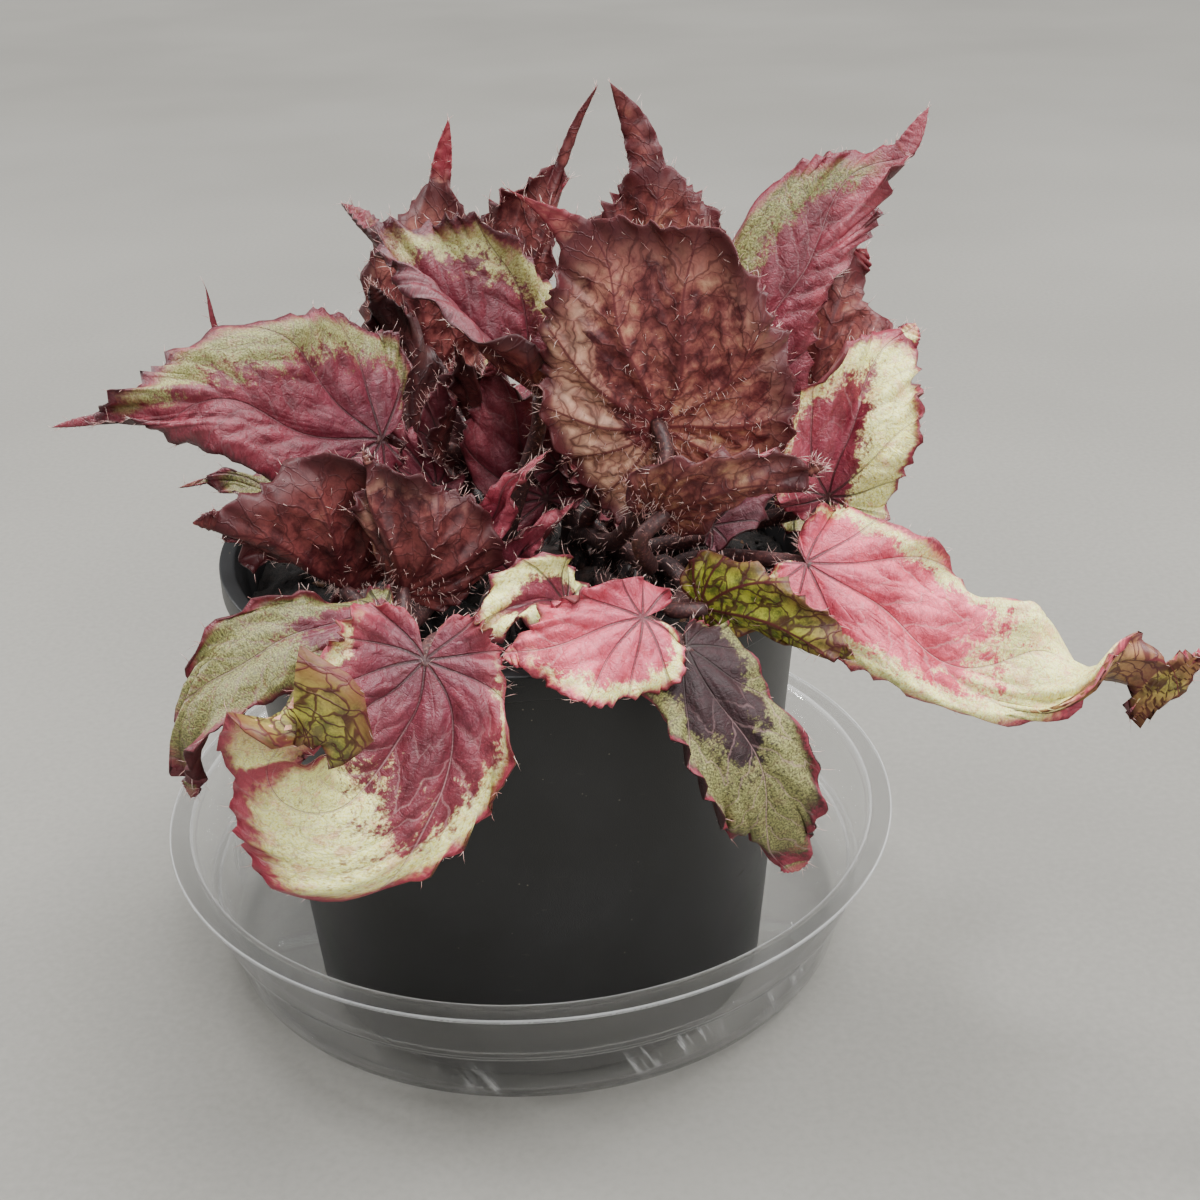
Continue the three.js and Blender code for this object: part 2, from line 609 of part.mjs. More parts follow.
// The frame across a stem: to its left, and upward square to it.
function stemFrame(curve, share) {
  const tangent = curve.getTangentAt(share);
  const across = new THREE.Vector3().crossVectors(new THREE.Vector3(0, 0, 1), tangent).normalize();
  const up = new THREE.Vector3().crossVectors(tangent, across).normalize();
  return { centre: curve.getPointAt(share), across, up };
}

function stemSolid(stem, swell) {
  const curve = stemCurve(stem);
  const length = curve.getLength();
  const steps = Math.round(length / RHIZOME_STEP);
  const frames = [];
  for (let step = 0; step <= steps; step += 1) {
    const share = step / steps;
    const frame = stemFrame(curve, share);
    frames.push({ ...frame, radius: stemRadius(stem, share, length) + swell });
  }
  const tangent = curve.getTangentAt(1);
  const tip = frames[frames.length - 1];
  for (const [ahead, shrink] of [[0.35, 0.92], [0.7, 0.62]]) {
    const centre = tip.centre.clone().addScaledVector(tangent, ahead * tip.radius);
    frames.push({ ...tip, centre, radius: tip.radius * shrink });
  }
  const { points, faces } = rod(frames, RHIZOME_SIDES);
  return solid(closedMesh(points, faces));
}

// Where a leaf's stalk leaves the rhizome.
function seat(root) {
  const [name, share, lean] = root;
  const stem = STEMS[name];
  const curve = stemCurve(stem);
  const { centre, across, up } = stemFrame(curve, share);
  const angle = radians(lean);
  const outward = up.multiplyScalar(Math.cos(angle)).addScaledVector(across, Math.sin(angle));
  const flat = stemRadius(stem, share, curve.getLength()) * Math.cos(Math.PI / RHIZOME_SIDES);
  const radius = flat + SEAT_GAP;
  return { foot: centre.addScaledVector(outward, radius), outward };
}

// A leaf's stalk: from the rhizome, through its bends, to the underside of the blade. With no
// gap it ends inside the blade.
function stalk(leaf, gap) {
  const { foot, outward } = seat(leaf.root);
  const { normal, tangent, point } = midrib(leaf).frame(0);
  const droop = Math.max(0, -Math.tan(radians(Math.min(...leaf.fold))));
  const clear = gap > 0 ? BLADE_THICKNESS / 2 + gap + droop * STALK_TOP_RADIUS * 1.3 : 0;
  const [ahead, upward] = leaf.reach ?? [1, 1];
  const reach = tangent.clone().multiplyScalar(ahead).addScaledVector(normal, upward).normalize();
  const top = point.clone().addScaledVector(tangent, STALK_TOP_RADIUS).addScaledVector(normal, -clear);
  const apart = top.distanceTo(foot);
  const line = [
    foot,
    foot.clone().addScaledVector(outward, Math.min(STALK_RISE, apart / 4)),
    ...(leaf.via ?? []).map(vec),
    top.clone().addScaledVector(reach, -Math.min(STALK_RUN, apart / 3)),
    top,
  ];
  const curve = new THREE.CatmullRomCurve3(line, false, 'centripetal');
  const frames = [];
  let across = new THREE.Vector3().crossVectors(outward, new THREE.Vector3(0, 1, 0)).normalize();
  for (let step = 0; step <= STALK_STEPS; step += 1) {
    const share = step / STALK_STEPS;
    const along = curve.getTangentAt(share);
    if (step === 0) {
      along.copy(outward);
    }
    across = across.clone().addScaledVector(along, -across.dot(along)).normalize();
    const up = new THREE.Vector3().crossVectors(along, across);
    const radius = mix(STALK_FOOT_RADIUS, STALK_TOP_RADIUS, share);
    frames.push({ centre: curve.getPointAt(share), across, up, radius });
  }
  const { points, faces } = rod(frames, STALK_SIDES);
  for (const end of points.slice(-STALK_SIDES)) {
    const height = end.clone().sub(top).dot(normal);
    end.addScaledVector(reach, -height / reach.dot(normal));
  }
  return closedMesh(points, faces);
}

function solid(geometry) {
  const plain = geometry.clone();
  plain.deleteAttribute('normal');
  plain.deleteAttribute('uv');
  const welded = mergeVertices(plain);
  return new wasm.Manifold(new wasm.Mesh({
    numProp: 3,
    vertProperties: new Float32Array(welded.attributes.position.array),
    triVerts: new Uint32Array(welded.index.array),
  }));
}

function geometryOf(body) {
  const { vertProperties, triVerts, numProp } = body.getMesh();
  const points = [];
  for (let start = 0; start < vertProperties.length; start += numProp) {
    points.push(new THREE.Vector3(...vertProperties.slice(start, start + 3)));
  }
  const faces = [];
  for (let start = 0; start < triVerts.length; start += 3) {
    faces.push([...triVerts.slice(start, start + 3)]);
  }
  return closedMesh(points, faces);
}

function turned(profile, segments) {
  const points = profile.map(([radius, height]) => new THREE.Vector2(radius, height));
  const geometry = new THREE.LatheGeometry(points, segments);
  geometry.rotateX(Math.PI / 2);
  return solid(geometry);
}

function potSolid() {
  const bandLow = POT_RIM_TOP - POT_RIM_BAND;
  const bandInside = POT_RIM_RADIUS - POT_WALL;
  const rimUnder = POT_RIM_TOP - POT_WALL - POT_CHAMFER;
  const floor = POT_BOTTOM + POT_FOOT_HEIGHT;
  let pot = turned([
    [0, floor],
    [POT_BASE_RADIUS - POT_FOOT_WIDTH - POT_WALL, floor],
    [POT_BASE_RADIUS - POT_FOOT_WIDTH, POT_BOTTOM],
    [POT_BASE_RADIUS, POT_BOTTOM],
    [POT_NECK_RADIUS, POT_NECK_HEIGHT],
    [POT_NECK_RADIUS, rimUnder],
    [bandInside, rimUnder],
    [bandInside, bandLow],
    [POT_RIM_RADIUS, bandLow],
    [POT_RIM_RADIUS, POT_RIM_TOP - POT_CHAMFER],
    [POT_RIM_RADIUS - POT_CHAMFER, POT_RIM_TOP],
    [POT_RIM_INNER, POT_RIM_TOP],
    [POT_NECK_RADIUS - POT_WALL, POT_NECK_HEIGHT],
    [POT_BASE_RADIUS - POT_WALL, floor + POT_WALL],
    [0, floor + POT_WALL],
  ], POT_SEGMENTS);
  for (let hole = 0; hole < DRAIN_COUNT; hole += 1) {
    const angle = (hole / DRAIN_COUNT) * Math.PI * 2;
    const cutter = new THREE.CylinderGeometry(DRAIN_RADIUS, DRAIN_RADIUS, POT_WALL * 4, DRAIN_SIDES);
    cutter.rotateX(Math.PI / 2);
    cutter.translate(DRAIN_CIRCLE, 0, floor + POT_WALL / 2);
    cutter.rotateZ(angle);
    pot = pot.subtract(solid(cutter));
  }
  return pot;
}

// Inner radius of the pot's wall at a height.
function potInside(height) {
  const low = POT_BOTTOM + POT_FOOT_HEIGHT + POT_WALL;
  const share = (height - low) / (POT_NECK_HEIGHT - low);
  return mix(POT_BASE_RADIUS, POT_NECK_RADIUS, share) - POT_WALL;
}

function saucerSolid() {
  const wall = SAUCER_WALL;
  const ledge = SAUCER_LEDGE_HEIGHT;
  const ledgeOuter = SAUCER_LEDGE_RADIUS + SAUCER_LEDGE_WIDTH;
  const lipUnder = SAUCER_HEIGHT - wall;
  let dish = turned([
    [0, 0],
    [SAUCER_FLOOR_RADIUS, 0],
    [SAUCER_LOW_RADIUS, SAUCER_ROUND],
    [SAUCER_LEDGE_RADIUS, ledge - wall],
    [ledgeOuter, ledge],
    [SAUCER_MOUTH_RADIUS, lipUnder - wall],
    [SAUCER_MOUTH_RADIUS + 1, lipUnder],
    [SAUCER_LIP_RADIUS, lipUnder],
    [SAUCER_LIP_RADIUS, SAUCER_HEIGHT],
    [SAUCER_MOUTH_RADIUS, SAUCER_HEIGHT],
    [SAUCER_MOUTH_RADIUS - wall, lipUnder - wall],
    [ledgeOuter - wall, ledge + 1],
    [SAUCER_LEDGE_RADIUS - wall, ledge],
    [SAUCER_LOW_RADIUS - wall, SAUCER_ROUND + 1],
    [SAUCER_FLOOR_RADIUS, wall],
    [0, wall],
  ], SAUCER_SEGMENTS);
  for (let rib = 0; rib < RIB_COUNT; rib += 1) {
    const bar = new THREE.BoxGeometry(RIB_LENGTH, RIB_WIDTH, RIB_HEIGHT + wall / 2);
    bar.translate(RIB_INNER + RIB_LENGTH / 2, 0, wall / 2 + (RIB_HEIGHT + wall / 2) / 2);
    bar.rotateZ(((rib + 0.5) / RIB_COUNT) * Math.PI * 2);
    dish = dish.add(solid(bar));
  }
  return dish;
}

// Height of the crumbly soil's top at a place.
function soilHeight(x, y) {
  const coarse = Math.sin(x * 0.21 + 1.3) * Math.cos(y * 0.19 - 0.4);
  const fine = 0.6 * Math.sin(x * 0.47 - y * 0.31) * Math.cos(y * 0.53 + 0.9);
  return SOIL_LEVEL + SOIL_BUMP * (coarse + fine);
}

function soilSolid(cutters) {
  const points = [];
  const faces = [];
  const edgeRadius = potInside(SOIL_LEVEL - SOIL_EDGE_DROP) - GAP;
  const bottom = POT_BOTTOM + POT_FOOT_HEIGHT + POT_WALL + GAP;
  points.push(new THREE.Vector3(0, 0, soilHeight(0, 0)));
  for (let ring = 1; ring <= SOIL_RINGS; ring += 1) {
    const radius = edgeRadius * ring / SOIL_RINGS;
    for (let step = 0; step < SOIL_SEGMENTS; step += 1) {
      const angle = ((step + (ring % 2) / 2) / SOIL_SEGMENTS) * Math.PI * 2;
      const x = radius * Math.cos(angle);
      const y = radius * Math.sin(angle);
      const height = ring === SOIL_RINGS ? SOIL_LEVEL - SOIL_EDGE_DROP : soilHeight(x, y);
      points.push(new THREE.Vector3(x, y, height));
    }
  }
  const lowRadius = (potInside(bottom) - GAP) * Math.cos(Math.PI / SOIL_SEGMENTS);
  for (let step = 0; step < SOIL_SEGMENTS; step += 1) {
    const angle = ((step + (SOIL_RINGS % 2) / 2) / SOIL_SEGMENTS) * Math.PI * 2;
    points.push(new THREE.Vector3(lowRadius * Math.cos(angle), lowRadius * Math.sin(angle), bottom));
  }
  const base = points.push(new THREE.Vector3(0, 0, bottom)) - 1;
  const at = (ring, step) => 1 + (ring - 1) * SOIL_SEGMENTS + (step % SOIL_SEGMENTS);
  for (let step = 0; step < SOIL_SEGMENTS; step += 1) {
    faces.push([0, at(1, step), at(1, step + 1)]);
    for (let ring = 1; ring <= SOIL_RINGS; ring += 1) {
      const shifted = ring % 2;
      const inner = [at(ring, step), at(ring, step + 1)];
      const outer = [at(ring + 1, step), at(ring + 1, step + 1)];
      if (ring === SOIL_RINGS || shifted === 0) {
        faces.push([inner[0], outer[0], inner[1]]);
        faces.push([inner[1], outer[0], outer[1]]);
      } else {
        faces.push([inner[0], outer[0], outer[1]]);
        faces.push([inner[0], outer[1], inner[1]]);
      }
    }
    faces.push([base, at(SOIL_RINGS + 1, step + 1), at(SOIL_RINGS + 1, step)]);
  }
  let soil = solid(closedMesh(points, faces));
  for (const cutter of cutters) {
    soil = soil.subtract(cutter);
  }
  return soil;
}

const plant = new THREE.Group();

function place(name, geometry, colour, roughness, extra = {}) {
  const material = new THREE.MeshStandardMaterial({ color: colour, roughness, metalness: 0, ...extra });
  const mesh = new THREE.Mesh(geometry, material);
  mesh.name = name;
  plant.add(mesh);
  return mesh;
}

const stems = Object.values(STEMS);
const rhizome = stems.map((stem) => stemSolid(stem, 0)).reduce((all, stem) => all.add(stem));
const beds = stems.map((stem) => stemSolid(stem, GAP));

const clear = { transparent: true, opacity: 0.35 };
const saucer = place('saucer', geometryOf(saucerSolid()), 0xdfe4e6, 0.15, clear);
saucer.position.set(SAUCER_CENTRE_X, SAUCER_CENTRE_Y, 0);
place('pot', geometryOf(potSolid()), 0x17181b, 0.55);
place('soil', geometryOf(soilSolid(beds)), 0x2a201a, 0.95);
place('rhizome', geometryOf(rhizome), 0x6b4a3c, 0.8);

for (const leaf of LEAVES) {
  if (leaf.young) {
    const whole = solid(blade(leaf)).add(solid(stalk(leaf, 0)));
    place(`leaf_${leaf.name}`, geometryOf(whole), leaf.tint, 0.5);
  } else {
    place(`blade_${leaf.name}`, blade(leaf), leaf.tint, 0.5);
    place(`stalk_${leaf.name}`, stalk(leaf, STALK_GAP), 0x7d4a4c, 0.6);
  }
}

export default plant;
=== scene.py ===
import math

import bmesh
import bpy
import numpy as np
from mathutils import Matrix, Vector


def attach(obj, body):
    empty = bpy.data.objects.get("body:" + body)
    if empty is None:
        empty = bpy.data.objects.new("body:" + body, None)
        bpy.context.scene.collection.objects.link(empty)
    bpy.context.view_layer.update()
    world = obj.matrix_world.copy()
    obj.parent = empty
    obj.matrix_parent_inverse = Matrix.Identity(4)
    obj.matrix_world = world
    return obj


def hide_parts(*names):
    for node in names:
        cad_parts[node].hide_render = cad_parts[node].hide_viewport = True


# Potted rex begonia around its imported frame. Shapes are worked out in millimetres on the frame's
# axes and become metres when a mesh is made.

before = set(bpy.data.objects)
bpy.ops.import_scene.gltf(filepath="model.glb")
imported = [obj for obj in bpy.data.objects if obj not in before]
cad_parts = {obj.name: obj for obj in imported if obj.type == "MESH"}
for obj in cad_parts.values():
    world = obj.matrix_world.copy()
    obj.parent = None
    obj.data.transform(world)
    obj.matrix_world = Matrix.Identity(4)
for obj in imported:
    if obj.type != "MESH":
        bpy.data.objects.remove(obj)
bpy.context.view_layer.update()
mm = 0.001


# Numbers and lines

def mixed(low, high, share):
    return low + (high - low) * share


def eased(value, low, high):
    share = np.clip((value - low) / (high - low), 0, 1)
    return share * share * (3 - 2 * share)


def unit(vectors):
    return vectors / np.maximum(np.linalg.norm(vectors, axis=-1, keepdims=True), 1e-9)


def dot(first, second):
    return np.sum(first * second, axis=-1, keepdims=True)


def through(values, share):
    # runs smoothly through evenly spaced values
    values = np.array(values, float)
    last = len(values) - 1
    place = np.minimum(share, 0.999999) * last
    start = np.floor(place).astype(int)
    rest = (place - start)[..., None]
    before = values[np.maximum(start - 1, 0)]
    here = values[start]
    there = values[start + 1]
    after = values[np.minimum(start + 2, last)]
    slopeHere = (there - before) / 2
    slopeThere = (after - here) / 2
    span = there - here
    bend = 3 * span - 2 * slopeHere - slopeThere + rest * (slopeHere + slopeThere - 2 * span)
    return here + rest * (slopeHere + rest * bend)


class Line:
    # a smooth line through points, measured along its length
    def __init__(self, points, steps=80):
        points = np.array(points, float)
        ends = 2 * points[[0, -1]] - points[[1, -2]]
        padded = np.vstack([ends[:1], points, ends[1:]])
        share = np.linspace(0, 1, steps, endpoint=False)[:, None]
        pieces = []
        for a, b, c, d in zip(padded, padded[1:], padded[2:], padded[3:]):
            ab, bc, cd = (np.linalg.norm(q - p) ** 0.5 for p, q in ((a, b), (b, c), (c, d)))
            slopeB = bc * ((b - a) / ab - (c - a) / (ab + bc) + (c - b) / bc)
            slopeC = bc * ((c - b) / bc - (d - b) / (bc + cd) + (d - c) / cd)
            span = c - b
            bend = 3 * span - 2 * slopeB - slopeC + share * (slopeB + slopeC - 2 * span)
            pieces.append(b + share * (slopeB + share * bend))
        self.places = np.vstack([*pieces, points[-1:]])
        gaps = np.linalg.norm(np.diff(self.places, axis=0), axis=1)
        self.far = np.concatenate([[0], np.cumsum(gaps)])
        self.length = self.far[-1]

    def at(self, share):
        far = np.clip(share, 0, 1) * self.length
        return np.stack([np.interp(far, self.far, axis) for axis in self.places.T], -1)

    def heading(self, share):
        near = 0.004
        return unit(self.at(share + near) - self.at(share - near))


# Meshes and pieces

class Shell:
    # gathers points, values on the points, and faces of three or four corners
    def __init__(self):
        self.points = []
        self.values = {}
        self.faces = []
        self.count = 0

    def add(self, points, faces, finish=0, **values):
        # faces: arrays of corner numbers, counted from this call's first point
        for key, given in values.items():
            self.values.setdefault(key, [np.zeros((self.count, 3))])
            self.values[key].append(np.broadcast_to(given, points.shape))
        for key in self.values.keys() - values.keys():
            self.values[key].append(np.zeros(points.shape))
        for group in faces:
            self.faces.append((np.array(group, int) + self.count, finish))
        self.points.append(points)
        self.count += len(points)

    def mesh(self, name, finishes):
        made = bpy.data.meshes.new(name)
        sizes = np.concatenate([np.full(len(group), group.shape[1]) for group, _ in self.faces])
        corners = np.concatenate([group.ravel() for group, _ in self.faces])
        slots = np.concatenate([np.full(len(group), finish) for group, finish in self.faces])
        made.vertices.add(self.count)
        made.vertices.foreach_set("co", (np.vstack(self.points) * mm).ravel())
        made.loops.add(len(corners))
        made.polygons.add(len(sizes))
        made.polygons.foreach_set("loop_start", np.concatenate([[0], np.cumsum(sizes)[:-1]]))
        made.polygons.foreach_set("vertices", corners)
        for finish in finishes:
            made.materials.append(finish)
        made.polygons.foreach_set("material_index", slots)
        made.polygons.foreach_set("use_smooth", np.ones(len(sizes), bool))
        for key, given in self.values.items():
            stored = made.attributes.new(key, "FLOAT_VECTOR", "POINT")
            stored.data.foreach_set("vector", np.vstack(given).ravel())
        made.update(calc_edges=True)
        made.validate()
        return made


def piece(name, mesh, slotName, *nodes):
    made = bpy.data.objects.new(name, mesh)
    bpy.context.collection.objects.link(made)
    if nodes:
        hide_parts(*nodes)
    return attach(made, "root")


def turned(profile, sides, lift=None):
    # a closed profile of radius and height turned about the upright axis; lift raises its points
    profile = np.array(profile, float)
    angle = np.arange(sides) / sides * 2 * math.pi
    radius, height = np.broadcast_arrays(profile[None, :, 0], profile[None, :, 1])
    height = np.repeat(height, sides, 0)
    radius = np.repeat(radius, sides, 0)
    turn = np.repeat(angle[:, None], len(profile), 1)
    if lift is not None:
        height = height + lift(radius, height, turn)
    points = np.stack([radius * np.cos(turn), radius * np.sin(turn), height], -1)
    at = np.arange(sides * len(profile)).reshape(sides, -1)
    beside = np.roll(at, -1, 0)
    quads = np.stack([at[:, :-1], beside[:, :-1], beside[:, 1:], at[:, 1:]], -1).reshape(-1, 4)
    return points.reshape(-1, 3), quads


def rounded(profile, size, steps=3):
    # cuts the corners of a profile to small arcs; the two ends stay
    profile = [np.array(point, float) for point in profile]
    result = [profile[0]]
    for before, here, after in zip(profile, profile[1:], profile[2:]):
        back = min(size, np.linalg.norm(before - here) * 0.45)
        ahead = min(size, np.linalg.norm(after - here) * 0.45)
        start = here + unit(before - here) * back
        end = here + unit(after - here) * ahead
        for share in np.linspace(0, 1, steps + 1):
            result.append((1 - share) ** 2 * start + 2 * share * (1 - share) * here + share ** 2 * end)
    result.append(profile[-1])
    return result


def welded(mesh, apart=0.01):
    # joins points that fall together, such as those on a turned shape's axis
    work = bmesh.new()
    work.from_mesh(mesh)
    bmesh.ops.remove_doubles(work, verts=work.verts, dist=apart * mm)
    bmesh.ops.recalc_face_normals(work, faces=work.faces)
    work.to_mesh(mesh)
    work.free()
    return mesh


def tube(line, shares, radii, sides, first, wobble=None):
    # a closed tube along a line; radii at the shares, first says where its sides start
    places = line.at(shares)
    headings = line.heading(shares)
    across = np.zeros(places.shape)
    held = np.array(first, float)
    for index, heading in enumerate(headings):
        held = unit(held - heading * np.dot(held, heading))
        across[index] = held
    up = np.cross(headings, across)
    turn = (np.arange(sides) + 0.5) / sides * 2 * math.pi
    out = across[:, None] * np.cos(turn)[:, None] + up[:, None] * np.sin(turn)[:, None]
    size = np.repeat(radii[:, None, None], sides, 1)
    if wobble is not None:
        size = size * wobble(shares[:, None], turn[None, :])[..., None]
    points = (places[:, None] + out * size).reshape(-1, 3)
    rows = len(shares)
    at = np.arange(rows * sides).reshape(rows, sides)
    beside = np.roll(at, -1, 1)
    quads = np.stack([at[:-1], beside[:-1], beside[1:], at[1:]], -1).reshape(-1, 4)
    points = np.vstack([points, places[:1], places[-1:]])
    start, end = rows * sides, rows * sides + 1
    caps = [[start, beside[0, side], at[0, side]] for side in range(sides)]
    caps += [[end, at[-1, side], beside[-1, side]] for side in range(sides)]
    return points, [quads, caps], out.reshape(-1, 3)


# Materials

class Wire:
    # a shader socket that takes part in sums
    def __init__(self, tree, socket=None):
        self.tree = tree
        self.socket = socket

    def node(self, kind, settings=None, inputs=None, outputs=0):
        made = self.tree.nodes.new(kind)
        for key, value in (settings or {}).items():
            setattr(made, key, value)
        for key, value in (inputs or {}).items():
            if isinstance(value, Wire):
                self.tree.links.new(value.socket, made.inputs[key])
            else:
                made.inputs[key].default_value = value
        if outputs is None:
            return None
        if isinstance(outputs, tuple):
            return [Wire(self.tree, made.outputs[key]) for key in outputs]
        return Wire(self.tree, made.outputs[outputs])

    def sum(self, operation, first, second=0.0):
        return self.node("ShaderNodeMath", {"operation": operation}, {0: first, 1: second})

    def __add__(self, other):
        return self.sum("ADD", self, other)

    def __radd__(self, other):
        return self.sum("ADD", other, self)

    def __sub__(self, other):
        return self.sum("SUBTRACT", self, other)

    def __rsub__(self, other):
        return self.sum("SUBTRACT", other, self)

    def __mul__(self, other):
        return self.sum("MULTIPLY", self, other)

    def __rmul__(self, other):
        return self.sum("MULTIPLY", other, self)

    def __truediv__(self, other):
        return self.sum("DIVIDE", self, other)

    def __pow__(self, other):
        return self.sum("POWER", self, other)

    def __abs__(self):
        return self.sum("ABSOLUTE", self)

    def most(self, other):
        return self.sum("MAXIMUM", self, other)

    def least(self, other):
        return self.sum("MINIMUM", self, other)

    def parts(self):
        return self.node("ShaderNodeSeparateXYZ", {}, {0: self}, ("X", "Y", "Z"))

    def ease(self, low, high):
        inputs = {"Value": self, "From Min": low, "From Max": high}
        return self.node("ShaderNodeMapRange", {"interpolation_type": "SMOOTHSTEP"}, inputs)

    def between(self, first, second):
        # this wire as the mask from one colour to another
        sockets = {0: self, 6: first, 7: second}
        return self.node("ShaderNodeMix", {"data_type": "RGBA"}, sockets, 2)

    def noise(self, scale, detail=2.0, rough=0.5):
        return self.node("ShaderNodeTexNoise", {}, {"Vector": self, "Scale": scale, "Detail": detail,
                         "Roughness": rough})

    def cells(self, scale, feature="DISTANCE_TO_EDGE"):
        settings = {"feature": feature, "voronoi_dimensions": "3D"}
        return self.node("ShaderNodeTexVoronoi", settings, {"Vector": self, "Scale": scale})


def stored(start, name):
    return start.node("ShaderNodeAttribute", {"attribute_name": name}, {}, "Vector")


def placeInMm(start):
    spot = start.node("ShaderNodeTexCoord", {}, {}, "Object")
    settings = {"operation": "SCALE"}
    return start.node("ShaderNodeVectorMath", settings, {0: spot, "Scale": 1000.0})


def joined(x, y, z):
    wires = [value for value in (x, y, z) if isinstance(value, Wire)]
    return wires[0].node("ShaderNodeCombineXYZ", {}, {0: x, 1: y, 2: z})


def paint(red, green, blue):
    # a screen colour of 0 to 255 as Blender's linear one
    shares = [value / 255 for value in (red, green, blue)]
    dark, slope, lift, power = 0.04045, 12.92, 0.055, 2.4
    linear = [s / slope if s <= dark else ((s + lift) / (1 + lift)) ** power for s in shares]
    return (*linear, 1.0)


def newFinish(name):
    made = bpy.data.materials.new(name)
    made.use_nodes = True
    made.node_tree.nodes.clear()
    return made, Wire(made.node_tree)


def closeFinish(start, inputs, bumps=None, depth=0.0):
    # bumps: a wire of heights 0 to 1, depth: how much that is in millimetres
    if bumps is not None:
        sockets = {"Height": bumps, "Distance": depth * mm, "Strength": 1.0}
        inputs = {**inputs, "Normal": start.node("ShaderNodeBump", {}, sockets)}
    shader = start.node("ShaderNodeBsdfPrincipled", {}, inputs)
    start.node("ShaderNodeOutputMaterial", {}, {0: shader}, None)


# Leaves

leafShape = {
    "thickness": 0.8,
    "rimThickness": 0.45,
    "toothDepth": 2.0,
    "toothLeft": 0.8,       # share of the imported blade's teeth that stays
    "bay": 1.7,             # depth of the bays between the fine teeth
    "bayPitch": 1.55,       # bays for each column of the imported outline
    "bayDepths": (0.2, 1.4),
    "bays": 200,            # depths drawn for each leaf, and where the right half's start
    "rightBays": 80,
    "serration": 0.6,
    "serrationPitch": 3.1,  # serrations for each bay
    "point": 1.2,
    "cutDepth": 1.5,        # of teeth, bays and points together
    "cutFade": 7,           # how soon they fade towards the stalk
    "lobeBulge": 0.08,
    "widest": 0.34,         # where along the blade the outline is widest
    "finer": 2.3,           # finer and finest waves for each wave of the ruffle
    "finest": 5.3,
    "finestShare": 0.35,
    "crinkle": 0.8,         # share of the ruffle's height in the finer waves
    "quilt": 0.7,           # how far the skin swells between the veins
    "valley": 1.1,          # how deep the blade folds in at the main veins
    "groove": 0.12,
    "ridge": 0.15,          # how far the veins stand out below
    "roll": 1.2,            # radians that the margin rolls up or down at most
    "rollStart": 0.8,
    "shine": 0.5,
    "shineBelow": 0.3,
    "veinStep": 36.0,       # degrees between main veins
    "sideVeinStep": 7.0,
    "ringSpread": 0.82,     # under 1: rings lie closer towards the margin
    "tipColumns": 3,
    "tipRows": 18,
    "tipSaw": 0.07,
    "tipTwist": 0.22,
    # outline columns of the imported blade, then finer columns of each half and rings
    "grids": {"big": (14, 120, 30), "medium": (11, 84, 22), "small": (7, 56, 16)},
}

# Half of the flat blade's outline from the foot of the tip to the notch: share of the half width,
# and place along the blade, from 1 at the tip's foot to -1 at the lobe's lowest point.
leafOutline = [
    [0.1, 1], [0.38, 0.9], [0.66, 0.76], [0.88, 0.57], [1, 0.34], [1, 0.1], [0.93, -0.3],
    [0.76, -0.75], [0.5, -1], [0.28, -0.97], [0.11, -0.66],
]

stemLines = {
    "main": {"line": [[-40, 26, 123], [-14, 12, 124], [12, -6, 124], [40, -26, 124]], "radius": 8},
    "back": {"line": [[-8, 8, 123], [-7, 30, 124], [-10, 54, 124]], "radius": 7},
    "right": {"line": [[8, -3, 123], [32, 4, 124], [52, 12, 124]], "radius": 7},
    "left": {"line": [[-8, 8, 123], [-24, -14, 124], [-36, -36, 124]], "radius": 7},
    "front": {"line": [[6, -2, 123], [6, -26, 124], [4, -50, 124]], "radius": 7},
}

# What a leaf has where its own line below doesn't say otherwise.
plainLeaf = {
    "young": False,         # stalk and blade in one piece
    "via": [],              # bends of the stalk
    "reach": [1, 1],        # how the stalk arrives: along the midrib and square to the blade
    "shoulder": [1, 1],     # narrows the left and the right half beside the stalk
    "lobe": 6,              # how far the lobes hang back past the stalk
    "tail": 0.1,            # share of the midrib in the drawn-out tip
    "plump": 0.8,           # under 1: fuller towards the tip
    "fold": [0, 0],         # degrees that each half stands up from the midrib
    "curl": [20, 20],       # and that it bends on the way out
    "tipWide": [0.25, 0.25],    # bulge of the drawn-out tip
    "roll": 1,              # share of the margin's roll
    "ruffle": 2.4,          # height and number of the margin's waves
    "waves": 5,
    "grid": "medium",
    "band": [0.1, 0.1],
    "inner": [0.8, 0.8],
    "silver": 0.3,
    "green": 0.3,
    # share of painted shade, for leaves in the shadow of others
    "paintedShade": 0.0,
    "hairy": 0.5,
}
